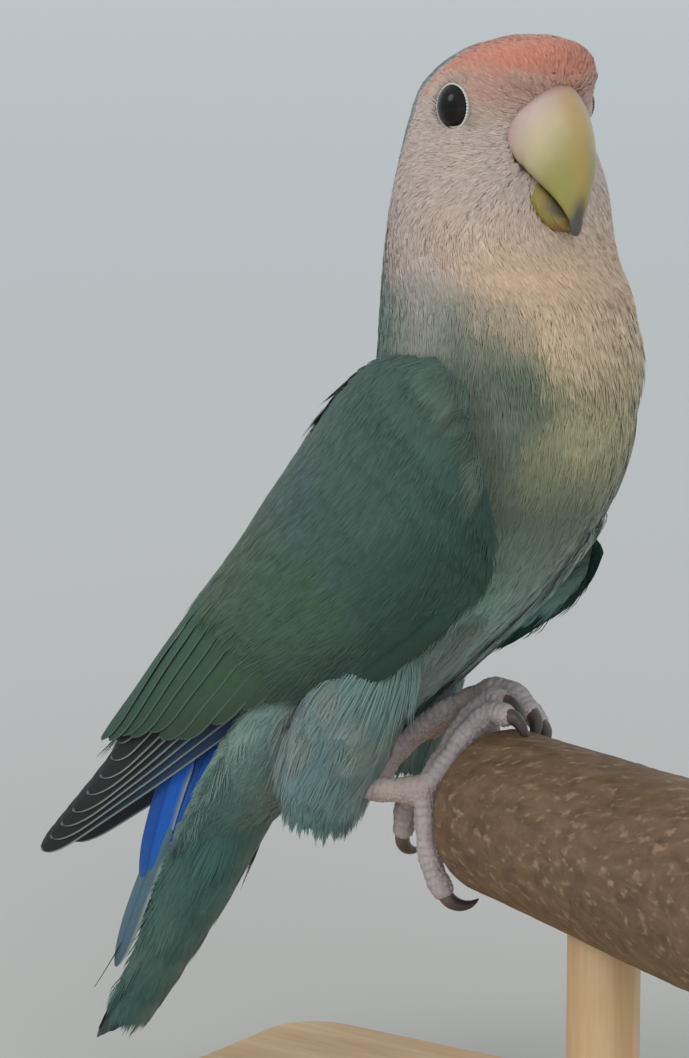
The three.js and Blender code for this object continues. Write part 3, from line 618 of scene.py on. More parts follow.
def under_wing(p, margin_low=0.1, margin_back=0.88, a_low=0.09):
    """True where a point lies beneath either wing, further in than its edges."""
    q = p.copy()
    q[:, 1] = -np.abs(q[:, 1])
    hidden = np.zeros(len(q), bool)
    for k, point in enumerate(q):
        _, i, dist = WING_TREE.find(Vector(point))
        a, b = CLOUD_AB[i]
        inside = (point - cloud[i]) @ cloud_out[i] < ABOVE_WING
        low = margin_low + front_limit(a, float(p[k, 1] > 0))
        hidden[k] = inside and dist < WING_REACH and low < b < margin_back * back_limit(a) and a > a_low
    return hidden


def bill_way(p):
    """The way feathers lie: away from the bill on the head."""
    return unit(p - on_head(13.5, 0.0, -1.0))


def falls(surface, u, a, n, way, step=1.5, eps_u=2e-3, eps_a=0.02):
    """How fast a surface curves away from its tangent plane along a way on it."""
    here = surface(u, a)
    pu = (surface(u + eps_u, a) - surface(u - eps_u, a)) / (2 * eps_u)
    pa = (surface(u, a + eps_a) - surface(u, a - eps_a)) / (2 * eps_a)
    uu, ua, aa = dot(pu, pu), dot(pu, pa), dot(pa, pa)
    bu, ba = dot(way, pu), dot(way, pa)
    det = np.maximum(uu * aa - ua**2, 1e-6)
    du, da = step * (aa * bu - ua * ba) / det, step * (uu * ba - ua * bu) / det
    ahead, behind = surface(u + du, a + da) - here, surface(u - du, a - da) - here
    squares = dot(ahead, ahead) + dot(behind, behind)
    return np.clip(-dot(ahead + behind, n) / np.maximum(squares, 0.6), -0.03, 0.1)


def plant(surface, u, a, p, n, lie, sizes, colour, uv, seed, splay=0.12, eps=(2e-3, 0.02), **shape):
    """Feathers with their roots on a surface, bent to follow it."""
    draw = np.random.default_rng(seed)
    lie = unit(lie - n * dot(lie, n)[:, None])
    side = np.cross(n, lie)
    angle = draw.normal(0, splay, len(p))
    lie = unit(lie * np.cos(angle)[:, None] + side * np.sin(angle)[:, None])
    side = unit(np.cross(n, lie))
    drop = falls(surface, u, a, n, lie, 1.5, *eps)
    drop_side = falls(surface, u, a, n, side, 1.2, *eps)
    length, half, lift, inset = (np.broadcast_to(v, (len(p),)) for v in sizes)
    colour = colour * (1 + draw.normal(0, 0.035, len(p)))[:, None]
    return tufts(p - n * inset[:, None], n, lie, length * draw.uniform(0.87, 1.13, len(p)), half, lift,
                 colour=colour, uv=uv, drop=drop, drop_side=drop_side, seed=seed + 1, **shape)


def coat(name, slot, *planted, material=COAT, **shape):
    """A piece of planted feathers."""
    points, faces, colours, uv, soft = plant(*planted, **shape)
    make(name, points, faces, material, slot, colours, uv, soft=soft)


def body_uv(u, a):
    """Bake places on the body's own unwrap."""
    return np.stack([0.01 + 0.7 * (a / (2 * np.pi) % 1), 0.02 + 0.95 * np.minimum(u, 1.02) / 1.03], -1)


# A cloud of the body for nearest places
gu, ga = np.meshgrid(np.linspace(0, 1 + CAP, 260), np.linspace(-np.pi, np.pi, 180, endpoint=False),
                     indexing="ij")
body_cloud = body_point(gu.ravel(), ga.ravel())
BODY_TREE = tree_of(body_cloud)
BODY_UA = np.stack([gu.ravel(), ga.ravel()], -1)


def nearest_on_body(p):
    return BODY_UA[nearest(BODY_TREE, p)].T


def outside_body(p, deeper=-0.4):
    """True where points aren't inside the body."""
    q, n, _ = body_frame(*nearest_on_body(p))
    return dot(p - q, n) > deeper


def inside_thigh(p, deeper=0.6):
    inside = np.zeros(len(p), bool)
    for path, radii in THIGHS.values():
        ts = np.linspace(0, 1, 60)
        centres, r = along(path, ts), along(radii, ts)
        dist = np.linalg.norm(p[:, None] - centres[None], axis=-1) - r[None]
        inside |= dist.min(1) < -deeper
    return inside


# Bill: rings between a line of upper points and a line of lower points, in head places
BILL_UPPER = {
    "top": [(8, 5.4), (11.2, 4.9), (13.6, 3.3), (15.3, 0.8), (16.2, -2.6), (16.6, -6.2), (16.5, -9.4),
            (16.1, -11.9)],
    "low": [(4.5, -5), (7.6, -5.6), (9.7, -6.8), (11.4, -8), (12.7, -9), (13.7, -10), (14.6, -11.2),
            (15.1, -12.5)],
    "half": (5.2, 5.5, 5.2, 4.6, 3.8, 2.8, 1.85, 0.95), "tip": (15.5, -14.3), "flare": 1,
}
BILL_LOWER = {
    "top": [(4, -4.6), (8, -5), (10.2, -6.5), (11.8, -8.1), (12.9, -9.4)],
    "low": [(4, -10), (8.4, -11.8), (10.8, -13.2), (12.5, -13.9), (13.7, -13.5)],
    "half": (3.2, 3.6, 3.7, 3.3, 2.4), "tip": (14.1, -12), "flare": -0.5,
}


def bill_rings(form, rings, around, growth=0.0):
    """Rings of points down one half of the bill, the last few closing on its tip."""
    t = np.concatenate([np.linspace(0, 1, rings), 1 + np.linspace(0.12, 0.98, 12)])[:, None]
    a = once_round(around)[None]
    inside = np.minimum(t, 1)
    top, low, half = along(form["top"], inside), along(form["low"], inside), along(form["half"], inside)
    w = np.clip(t - 1, 0, 1)
    s = np.sin(a)
    round_off = np.sqrt(1 - w**2)
    middle = (top + low) / 2 * (1 - w)[..., None] + np.array(form["tip"]) * w[..., None]
    rise = (top - low) / 2 * round_off[..., None]
    wide = half * round_off * np.sign(s) * np.abs(s) ** 0.8 * (1 - 0.32 * form["flare"] * np.cos(a))
    # Lines of growth across the horn, a little worn
    swell = np.sin(2 * np.pi * (t * 9 + 0.25 * np.cos(a) + 0.2 * np.sin(3 * a))) * smooth(t, 0.02, 0.2)
    swell = 1 + growth * swell * (0.5 + 0.5 * np.sin(5 * a + 9 * t)) / 4
    place = middle + rise * np.cos(a)[..., None] * swell[..., None]
    return on_head(place[..., 0], wide * swell, place[..., 1]), t, a


BILL_CLOUD, BILL_OUT = [], []
for form in (BILL_UPPER, BILL_LOWER):
    rings = bill_rings(form, 40, 40)[0]
    middle = rings.mean(1, keepdims=True)
    down = np.gradient(rings, axis=0)
    round_it = np.roll(rings, -1, 1) - np.roll(rings, 1, 1)
    out = unit(np.cross(down, round_it))
    out = facing(out, rings - middle)
    BILL_CLOUD.append(rings.reshape(-1, 3))
    BILL_OUT.append(out.reshape(-1, 3))
BILL_CLOUD, BILL_OUT = np.concatenate(BILL_CLOUD), np.concatenate(BILL_OUT)
BILL_TREE = tree_of(BILL_CLOUD)


# Eyes
EYE_AHEAD, EYE_OUT, EYE_UP = 3.4, 8.85, 1.5
EYE_FORWARD, EYE_NARROW = 0.22, 0.88


def eye_centre(side):
    return on_head(EYE_AHEAD, side * (EYE_OUT + 0.1 * (side - 1)), EYE_UP)


def eye_way(side):
    return unit(side * HEAD_RIGHT + EYE_FORWARD * HEAD_FRONT)


def near_eye(p, reach=3.05):
    hit = np.zeros(len(p), bool)
    for side in (1, -1):
        q = p - eye_centre(side)
        way = eye_way(side)
        across = unit(np.cross(way, UP))
        hit |= (np.hypot(q @ across / EYE_NARROW, q @ np.cross(across, way)) < reach) & (q @ way > 0)
    return hit


def in_bill(p, grow=-0.25):
    """True where points lie inside either half of the bill, or within grow of it."""
    near = nearest(BILL_TREE, p)
    return dot(p - BILL_CLOUD[near], BILL_OUT[near]) < grow


def kept(keep, *arrays):
    return [values[keep] for values in arrays]


def body_coat(name, u_from, u_to, row_gap, gap, sizes, seed, slot, splay=0.1, **shape):
    u, a = rows_on_body(u_from, u_to, row_gap, gap, seed).T
    p, n, way = body_frame(u, a)
    keep = ~inside_thigh(p) & ~near_eye(p) & ~in_bill(p)
    keep[keep] &= ~under_wing(p[keep])
    u, a, p, n, way = kept(keep, u, a, p, n, way)
    w = smooth(p[:, 2], 127, 141)[:, None]
    lie = -way * (1 - w) + bill_way(p) * w
    front = np.cos(a)
    coat(name, slot, body_point, u, a, p, n, lie, sizes(p, front), plumage(p, front), body_uv(u, a), seed,
         splay, **shape)


def sizes_at(z_list, lengths, halves, lifts, insets):
    """Feather sizes read from the height of the root."""
    def sizes(p, front):
        z = p[:, 2]
        full = smooth(z, 112, 121) * smooth(z, 145, 138) * smooth(front, 0.0, 0.6)
        length, half, lift, inset = (np.interp(z, z_list, v) for v in (lengths, halves, lifts, insets))
        return length, half, lift + 0.4 * full, inset - 0.75 * full
    return sizes


# Camera: the photograph's viewing angle, over the bird's right shoulder from a little above
TARGET = np.array([-20.0, 4.0, 90.0])
VIEW_AZ, VIEW_EL, VIEW_FAR = rad(35), rad(9), 450.0
FOCAL, LONG_SIDE, SENSOR = 3330.0, 1058.0, 36.0
TO_CAMERA = np.array([math.sin(VIEW_AZ) * math.cos(VIEW_EL), -math.cos(VIEW_AZ) * math.cos(VIEW_EL),
                      math.sin(VIEW_EL)])


def add_camera():
    data = bpy.data.cameras.new("camera")
    data.sensor_fit = "VERTICAL"
    data.sensor_height = SENSOR
    data.lens = FOCAL / LONG_SIDE * SENSOR
    data.clip_start = 0.01
    data.clip_end = 4000
    camera = linked("camera", data)
    camera.location = (TARGET + TO_CAMERA * VIEW_FAR) * MM
    camera.rotation_euler = Vector(TO_CAMERA).to_track_quat("Z", "Y").to_euler()
    bpy.context.scene.camera = camera


add_camera()


# Cere: a low swelling over the bill
CERE_AHEAD, CERE_UP, CERE_RADIUS, CERE_WIDE = 9.9, 5, 3.5, 2.05
NOSTRIL = (13.05, 2.0, 6.3)


def nostril(side):
    return on_head(NOSTRIL[0], side * NOSTRIL[1], NOSTRIL[2])


def cere_point(u, a, grow=0.0):
    """u from 0 at the bird's right end to 1 at its left end, a round it from straight ahead upwards."""
    u, a = np.broadcast_arrays(np.asarray(u, float), np.asarray(a, float))
    r = CERE_RADIUS + grow
    ring = np.sin(np.pi * u)
    return on_head(CERE_AHEAD + r * ring * np.cos(a), CERE_WIDE * r * np.cos(np.pi * u),
                   CERE_UP + 0.95 * r * ring * np.sin(a))


# The skin: body, thighs and cere as one closed surface, inside the tips of the coat
SKIN_VOXEL = 0.8


def net(low, high, rows, cols):
    """A net over a closed form: rows from low to high and columns once round."""
    return np.meshgrid(np.linspace(low, high, rows), once_round(cols), indexing="ij")


def skin_piece():
    u, aa = net(0, 1 + CAP, 150, 96)
    z = body_point(u, aa)[..., 2]
    inset = np.interp(z, [30, 50, 80, 120, 135, 150], [0.7, 0.9, 1.2, 1.15, 0.85, 0.75])
    points, out, _ = body_frame(u, aa)
    points = points - out * inset[..., None]
    forms = [points]
    for path, radii in THIGHS.values():
        t, ta = net(0, 1, 40, 32)
        forms.append(tube(path, radii, t, ta, np.interp(t, [0, 0.7, 1], [-1.0, -1.0, -2.0])))
    forms.append(cere_point(*net(0.02, 0.98, 40, 32), -0.85))
    verts, faces, start = [], [], 0
    for form in forms:
        rows, cols = form.shape[:2]
        verts.append(np.concatenate([form.reshape(-1, 3), form[0].mean(0)[None], form[-1].mean(0)[None]]))
        faces += (grid_faces(rows, cols) + start).tolist()
        low, high = start + rows * cols, start + rows * cols + 1
        for j in range(cols):
            faces.append((low, start + (j + 1) % cols, start + j))
            last = start + (rows - 1) * cols
            faces.append((high, last + j, last + (j + 1) % cols))
        start += rows * cols + 2
    done, places = voxel_joined("skin_raw", verts, faces, SKIN_VOXEL)
    _, turn = nearest_on_body(places)
    # Painted shade: the skin is drawn a little darker than the plumage over it
    paint_mesh(done, plumage(places, np.cos(turn)) * 0.88)
    done.materials.clear()
    done.materials.append(COAT)
    done.shade_smooth()
    skin = linked("skin", done)
    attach(skin, "root")
    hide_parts("head", "neck", "torso", "thigh_right", "thigh_left")
    PIECES.append(("skin", 2 * len(done.polygons)))


skin_piece()

body_coat("coat_head", 0.585, 1 + CAP, 0.56, 0.56,
          sizes_at([125, 135, 145, 156], [3.2, 2.5, 2.1, 2.1], [0.85, 0.68, 0.56, 0.56],
                   [0.62, 0.48, 0.44, 0.44], [0.9, 0.62, 0.5, 0.45]),
          21, "head_feathers", barbs=7, rows=3, wide=0.17)
body_coat("coat_neck", 0.515, 0.61, 0.78, 0.8,
          sizes_at([105, 118, 134], [4.6, 4.0, 2.9], [1.3, 1.15, 0.8], [0.9, 0.85, 0.6], [1.4, 1.3, 0.8]),
          22, "neck_feathers", barbs=10, rows=4, wide=0.18)
body_coat("coat_breast", 0.42, 0.54, 0.95, 0.95,
          sizes_at([90, 105, 120], [5.6, 5.2, 4.4], [1.6, 1.5, 1.2], [1.1, 1.0, 0.9], [1.5, 1.4, 1.3]),
          25, "body_feathers", barbs=12, rows=4, wide=0.2)
body_coat("coat_body", 0.16, 0.44, 1.1, 1.1,
          sizes_at([60, 80, 105], [7.0, 6.6, 5.6], [1.9, 1.8, 1.6], [1.2, 1.2, 1.1], [1.4, 1.5, 1.4]),
          23, "body_feathers", barbs=13, rows=4, wide=0.21)
body_coat("coat_tail_root", 0.0, 0.18, 1.1, 1.1,
          sizes_at([32, 45, 60], [5.5, 6.0, 7.0], [1.3, 1.6, 1.9], [0.4, 0.6, 1.0], [0.9, 0.9, 1.2]),
          24, "tail_feathers", barbs=13, rows=4, wide=0.21, splay=0.08, fray=0.08)


# Thigh feathers, soft and loose
def thigh_coat(name, seed):
    path, radii = THIGHS[name]
    draw = np.random.default_rng(seed)
    rows = []
    for k, t in enumerate(np.arange(0.02, 0.85, 0.03)):
        count = max(int(2 * math.pi * along(radii, t) / 1.0), 6)
        a = staggered(draw, count, k, 0.3) * 2 * math.pi
        rows.append(np.stack([np.full(count, t) + draw.uniform(-0.01, 0.01, count), a], -1))
    t, a = np.concatenate(rows).T

    def surface(t, a):
        return tube(path, radii, t, a)

    p = surface(t, a)
    n = unit(p - along(path, t))
    way = unit(along(path, np.minimum(t + 0.03, 1)) - along(path, t - 0.03))
    keep = outside_body(p, -0.6)
    keep[keep] &= ~under_wing(p[keep], 0.07, 1.0, 0.0)
    t, a, p, n, way = kept(keep, t, a, p, n, way)
    low = smooth(t, 0.45, 0.95) + 0.15 * noise(p, 3)
    colour = mix(C["thigh"], C["thigh_low"], low)
    colour = mix(colour, C["belly"], smooth(p[:, 0], -6, 2) * 0.6)
    loose = draw.random(len(t)) < 0.22
    tone = smooth(noise(p, 3.0, 12), -0.4, 0.6) * np.where(loose, 0.55, 0.15)
    colour = mix(colour, C["shoulder"], tone * smooth(t, 0.8, 0.3))
    loose &= t < 0.55
    length = np.interp(t, [0, 0.5, 0.85], [9.5, 8.0, 3.6]) * np.where(loose, 1.25, 1.0)
    lift = np.interp(t, [0, 0.6, 0.9], [1.3, 1.6, 1.5]) + 0.4 * loose
    sizes = (length, 0.16 * length, lift, 1.3)
    at_u = {"right": 0.74, "left": 0.87}[name]
    uv = np.stack([at_u + 0.11 * (a / (2 * np.pi) % 1), 0.02 + 0.3 * t], -1)
    coat(f"coat_thigh_{name}", "body_feathers", surface, t, a, p, n, way, sizes, colour, uv, seed, 0.07,
         (0.01, 0.05), barbs=13, rows=5, wide=0.17, fray=0.1, silky=2.8, roll=0.12, lean=0.03)


thigh_coat("right", 31)
thigh_coat("left", 32)


def flank_coat(seed):
    """Long loose feathers from the flanks, falling over the thighs."""
    draw = np.random.default_rng(seed)
    u, a = rows_on_body(0.26, 0.44, 1.3, 1.3, seed).T
    p, n, way = body_frame(u, a)
    front = np.cos(a)
    keep = (np.abs(np.sin(a)) > 0.35) & (front > -0.45) & (p[:, 2] > 68) & (p[:, 2] < 84) & (p[:, 0] < 12)
    keep[keep] &= ~under_wing(p[keep], 0.05, 1.0)
    keep[keep] &= ~inside_thigh(p[keep], 0.2)
    keep &= draw.random(len(u)) < 0.8
    u, a, p, n, way = kept(keep, u, a, p, n, way)
    lie = np.broadcast_to(unit(np.array([-0.5, 0, -0.87])), p.shape)
    tone = smooth(noise(p, 3.0, 12), -0.4, 0.5)
    colour = mix(mix(C["thigh"], C["shoulder"], 0.5 * tone), C["side"], smooth(p[:, 0], 2, 12) * 0.6)
    sizes = (draw.uniform(8.5, 12.5, len(u)), 1.5, 1.5, 0.9)
    coat("coat_flank", "body_feathers", body_point, u, a, p, n, lie, sizes, colour, body_uv(u, a), seed, 0.13,
         barbs=13, rows=5, wide=0.13, fray=0.14, silky=3.2, spring=0.5)


flank_coat(33)


def belly_edge(seed):
    """Soft feathers of the belly that stand off a little where it turns under, towards the left wing."""
    draw = np.random.default_rng(seed)
    u, a = rows_on_body(0.24, 0.62, 1.2, 1.2, seed).T
    p, n, way = body_frame(u, a)
    keep = (p[:, 1] > 1.5) & (n[:, 0] > -0.1) & (p[:, 2] > 76) & (p[:, 2] < 96) & (n[:, 1] < 0.96)
    keep[keep] &= ~inside_thigh(p[keep], 0.2)
    u, a, p, n, way = kept(keep, u, a, p, n, way)
    lie = unit(np.array([-0.62, 0, -0.78]) + 0.3 * n)
    tone = smooth(noise(p, 3.0, 12), -0.4, 0.5)
    # Painted light: the belly's edge is drawn paler where it turns under, away from the lamps
    colour = mix(C["belly"], C["painted_light_edge"], 0.6 * tone + 0.3)
    colour = mix(colour, C["side"], smooth(p[:, 2], 88, 96) * 0.7)
    length = draw.uniform(6.5, 9.5, len(u)) * (1 - 0.4 * smooth(p[:, 2], 86, 96))
    sizes = (length, 1.7, 1.2, 0.8)
    coat("coat_belly_edge", "body_feathers", body_point, u, a, p, n, lie, sizes, colour, body_uv(u, a), seed,
         0.1, barbs=13, rows=4, wide=0.16, fray=0.1, silky=3.0, spring=0.3)


belly_edge(35)


# Firm feathers: closed thin blades with a shaft, cupped across, their ends rounded
BLADE_PLACES = np.array([-1, -0.95, -0.88, -0.7, -0.45, -0.2, -0.05, 0, 0.05, 0.2, 0.45, 0.7, 0.9, 1])
BARB_SLANT = 1.3  # how far a barb runs down the feather for each step out from its shaft


def blade(middle, out, low, high, paint, point=0.12, thick=0.14, cup=0.12, rows=26, tip_from=0.82, barb=0.42,
          ragged=0.0, seed=0):
    """One feather. middle and out give its shaft and outward way at t; low and high its half widths."""
    t = 1 - (1 - np.linspace(0, 1, rows)) ** 1.35
    mid, up = middle(t), unit(out(t))
    ahead = unit(np.gradient(mid, axis=0))
    across = unit(np.cross(ahead, up))
    up = unit(np.cross(across, ahead))
    s = BLADE_PLACES
    tip = np.sqrt(np.clip(1 - (np.maximum(t - tip_from, 0) / (1 - tip_from)) ** 2, 0, 1))
    width = np.maximum(tip, point) * smooth(t, -0.3, 0.22)
    if ragged:
        width = width * (1 + ragged * np.random.default_rng(seed).normal(0, 1, rows) * smooth(t, 0.5, 1))
    half = np.where(s < 0, low, high)[None] * width[:, None]
    y = s[None] * half
    lift = cup * (low + high) * (0.25 - s[None] ** 2) * width[:, None]
    lift = lift + 0.12 * np.exp(-((s[None] / 0.05) ** 2)) * (1 - 0.7 * t[:, None])
    top = mid[:, None] + across[:, None] * y[..., None] + up[:, None] * lift[..., None]
    deep = thick * (1 - 0.75 * np.abs(s[None]) ** 3) * (1 - 0.6 * t[:, None])
    points, faces = plate(top, top - up[:, None] * deep[..., None])
    colours = both_faces(paint(t[:, None], s[None])).reshape(-1, 3)
    slant = 2 * np.pi * (arc_length(mid)[:, None] - BARB_SLANT * np.abs(y)) / barb
    place = np.stack(np.broadcast_arrays((s[None] + 1) / 2, t[:, None]), -1)
    return points, faces, colours, both_faces(slant).ravel(), both_faces(place).reshape(-1, 2)


CELL_MARGIN = 0.06  # the free edge of a feather's cell on the bake map, as a share of the cell


def blades_piece(name, feathers, slot, replaces, flip=1):
    """Firm feathers as one piece, each in a cell of the bake map. flip is -1 for the left side."""
    side = math.ceil(math.sqrt(len(feathers)))
    parts = []
    for k, (*blade_parts, place) in enumerate(feathers):
        cell = np.array([k % side, k // side])
        parts.append((*blade_parts, (cell + CELL_MARGIN + (1 - 2 * CELL_MARGIN) * place) / side))
    points, faces, colours, slant, uv = merge(parts)
    make(name, points * [1, flip, 1], faces[:, ::flip], VANE, slot, colours, uv, slant, (replaces,))


def wing_blade(root, tip, lift, low, high, tilt, paint, **shape):
    """A feather of the folded wing from place (a, b) to place (a, b), its lower edge turned out."""
    ends = wing_point(np.array([root[0], tip[0]]), np.array([root[1], tip[1]]))

    def places(t):
        return np.interp(t, [0, 1], [root[0], tip[0]]), np.interp(t, [0, 1], [root[1], tip[1]])

    def rise(t):
        return lift[0] + (lift[1] - lift[0]) * smooth(t, 0, 0.5)

    def middle(t):
        p, n, _ = wing_frame(*places(t))
        straight = ends[0] + (ends[1] - ends[0]) * t[:, None]
        # A shaft is straighter than the surface: keep the surface's height but only half its sideways bend
        way = unit(ends[1] - ends[0])
        gap = straight - p
        gap = gap - n * dot(gap, n)[:, None] - way * (gap @ way)[:, None]
        return p + 0.6 * gap + n * rise(t)[:, None]

    def out(t):
        _, n, way = wing_frame(*places(t))
        turn = rad(tilt)
        side = np.cross(way, n)
        return n * math.cos(turn) + side * math.sin(turn)

    return blade(middle, out, low, high, paint, **shape)


def edged(inner, outer, tip, edge, line=0.9, tip_from=0.8, edge_from=0.0, fade=1.0):
    """Paint for a feather: inner and outer webs, its end, and a pale line down the outer (lower) edge."""
    def paint(t, s):
        t, s = np.broadcast_arrays(t, s)
        colour = mix(outer, inner, smooth(s, -0.25, 0.1))
        colour = mix(colour, tip, smooth(t, tip_from - 0.25, tip_from + 0.1))
        barbs = 1 + 0.05 * np.sin(37 * t + 11 * s) + 0.04 * np.sin(91 * t - 23 * s)
        colour = colour * barbs[..., None]
        shaft = np.exp(-((s / 0.05) ** 2))
        colour = colour * (1 - 0.3 * shaft)[..., None]
        rim = np.maximum(smooth(-s, line - 0.01, line + 0.06), smooth(t, 0.992, 1.0) * smooth(-s, -0.2, 0.4))
        return mix(colour, edge, rim * fade * smooth(t, edge_from, edge_from + 0.15))
    return paint


# Tips of the folded wing's feathers, from the back of the wing to its lower edge
PRIMARY_TIPS = [(0.8, 0.74), (0.83, 0.68), (0.865, 0.56), (0.897, 0.53), (0.93, 0.5), (0.957, 0.46),
                (0.99, 0.38)]
SECONDARY_TIPS = [(0.825, 0.78), (0.815, 0.66), (0.8, 0.54), (0.785, 0.42), (0.775, 0.28), (0.735, 0.18),
                  (0.67, 0.15), (0.61, 0.12)]
GREATER_TIPS = [(0.62, 0.88), (0.6, 0.62), (0.57, 0.36), (0.53, 0.14), (0.47, 0.0)]


def wing_feathers(seed):
    draw = np.random.default_rng(seed)
    feathers = []
    count = 9
    for k in range(count):  # primaries, the innermost first
        s = k / (count - 1)
        tip = along(PRIMARY_TIPS, s) + [0, draw.uniform(-0.01, 0.01)]
        root = (0.44, 0.62 - 0.52 * s)
        blue = smooth(s, 0.55, 1.0)
        outer = mix(C["primary"], C["primary_blue"], blue)
        paint = edged(C["primary_brown"], outer, mix(C["primary_brown"], C["primary"], 0.4), C["edge"],
                      tip_from=0.85, edge_from=0.15)
        feathers.append(wing_blade(root, tip, (-1.0 - 0.4 * s, 0.7 - 3.0 * s), 2.3, 2.7, 9, paint,
                                   point=0.2, tip_from=0.9, rows=34))
    count = 10
    for k in range(count):  # secondaries, the innermost first
        s = k / (count - 1)
        tip = along(SECONDARY_TIPS, s) + draw.uniform(-0.006, 0.006, 2)
        root = (0.34, 0.86 - 0.7 * s)
        green = mix(C["secondary_tip"], C["secondary"], smooth(s, 0.0, 0.4))
        dark = mix(green, C["primary"], 0.45)
        paint = edged(dark, green, mix(dark, green, 0.3 * (1 - s)), mix(C["edge"], C["secondary_tip"], 0.6),
                      tip_from=0.9, edge_from=0.4, fade=0.6)
        feathers.append(wing_blade(root, tip, (-1.1, 1.75 - 0.9 * s), 2.5, 2.7, 12, paint,
                                   point=0.25, tip_from=0.88, rows=30))
    count = 13
    for k in range(count):  # greater coverts
        s = k / (count - 1)
        tip = along(GREATER_TIPS, s) + draw.uniform(-0.008, 0.008, 2)
        root = (0.3 - 0.08 * s, 0.88 - 0.86 * s)
        green = mix(C["covert_back"], C["secondary"], smooth(s, 0.0, 0.25))
        green = mix(green, C["covert_dark"], smooth(s, 0.65, 1.0))
        paint = edged(green * 0.85, green, green, green * 1.2, tip_from=0.9, edge_from=0.4, fade=0.4)
        feathers.append(wing_blade(root, tip, (-1.5, 0.8 - 0.3 * s), 2.6, 2.8, 9, paint,
                                   point=0.3, tip_from=0.82, rows=24))
    for k in range(7):  # primary coverts along the lower edge
        s = k / 6
        tip = (0.66 - 0.04 * s, 0.2 - 0.16 * s)
        root = (0.4, 0.24 - 0.18 * s)
        blue = mix(C["primary_blue"], C["covert_dark"], 0.5 * (1 - s))
        paint = edged(blue * 0.7, blue, blue * 0.8, blue * 1.5, tip_from=0.9, edge_from=0.4, fade=0.5)
        feathers.append(wing_blade(root, tip, (-1.9, -1.5 - 0.8 * s), 1.7, 1.9, 9, paint,
                                   point=0.3, tip_from=0.8, rows=20))
    return feathers


def wing_colour(a, b, p):
    """The coverts: darker at the front, a little bluer in the middle, lighter along the back."""
    wob = noise(p, 5.0, 4) * 0.06 + noise(p, 2.0, 5) * 0.03
    colour = mix(C["covert"], C["covert_blue"], smooth(noise(p, 9.0, 6), -0.1, 0.6))
    colour = mix(C["covert_dark"], colour, smooth(b + wob, 0.02, 0.38))
    colour = mix(colour, C["covert_back"], smooth(b + wob, 0.72, 0.98))
    olive = smooth(a + wob, 0.24, 0.46) * smooth(b + wob, 0.06, 0.3) * smooth(b + wob, 1.02, 0.8)
    colour = mix(colour, C["secondary"] * 1.1, olive)
    return mix(colour, C["shoulder"], smooth(a + wob, 0.05, -0.05) * smooth(b, 0.7, 0.2) * 0.2)


WING_BASE_AT, WING_BASE = [-0.06, 0.02, 0.08, 0.2, 0.34, 0.54], [-1.9, -0.7, -0.1, 0.2, 0.8, 1.5]


def wing_coverts(seed, far):
    """Small soft feathers over the wing's arm, row behind row."""
    draw = np.random.default_rng(seed)
    places = []
    for k, a in enumerate(np.arange(-0.05, 0.51, 0.0135)):
        width = np.linalg.norm(wing_point(a, 1.0) - wing_point(a, 0.5)) * 2
        count = int(width / np.interp(a, [0, 0.3, 0.5], [1.35, 1.55, 1.8]))
        b = staggered(draw, count, k, 0.25)
        b_from, b_to = front_limit(a, far) - 0.01, back_limit(a)
        places.append(np.stack([np.full(count, a) + draw.uniform(-0.004, 0.004, count),
                                b_from + (b_to - b_from) * b], -1))
    a, b = np.concatenate(places).T
    p, n, way = wing_frame(a, b)
    low_edge = smooth(b - front_limit(a, far), 0.14, 0.0)
    back_edge = smooth(b / back_limit(a), 0.86, 1.0)
    length = np.interp(a, [0, 0.2, 0.5], [5.2, 6.8, 9.4]) * (1 - 0.1 * (low_edge + back_edge))
    base = np.interp(a, WING_BASE_AT, WING_BASE)
    # Rows further down lie higher, over the blades: turn each feather to that slope
    run = np.linalg.norm(wing_point(a + 0.02, b) - wing_point(a - 0.02, b), axis=-1)
    ahead_of = np.interp(a + 0.02, WING_BASE_AT, WING_BASE) - np.interp(a - 0.02, WING_BASE_AT, WING_BASE)
    slope = (ahead_of / run + 0.02)[:, None]
    p = p + n * (base - 0.7 * low_edge - 0.6 * back_edge)[:, None]
    way, n = unit(way + n * slope), unit(n - way * slope)
    side = np.cross(way, n)
    sizes = (length, 0.3 * length, 0.55, 0.2)
    uv = np.stack([0.02 + 0.95 * (a + 0.05) / 0.6, 0.02 + 0.9 * (b + 0.04) / 1.1], -1)
    lie = way + side * (0.06 * low_edge - 0.1 * back_edge)[:, None]
    return plant(wing_point, a, b, p, n, lie, sizes, wing_colour(a, b, p), uv, seed, 0.045, (0.01, 0.01),
                 barbs=17, rows=4, wide=0.24, fray=0.05, silky=2.2, spring=0.4, dark_root=0.8, lean=0.02,
                 roll=0.12)


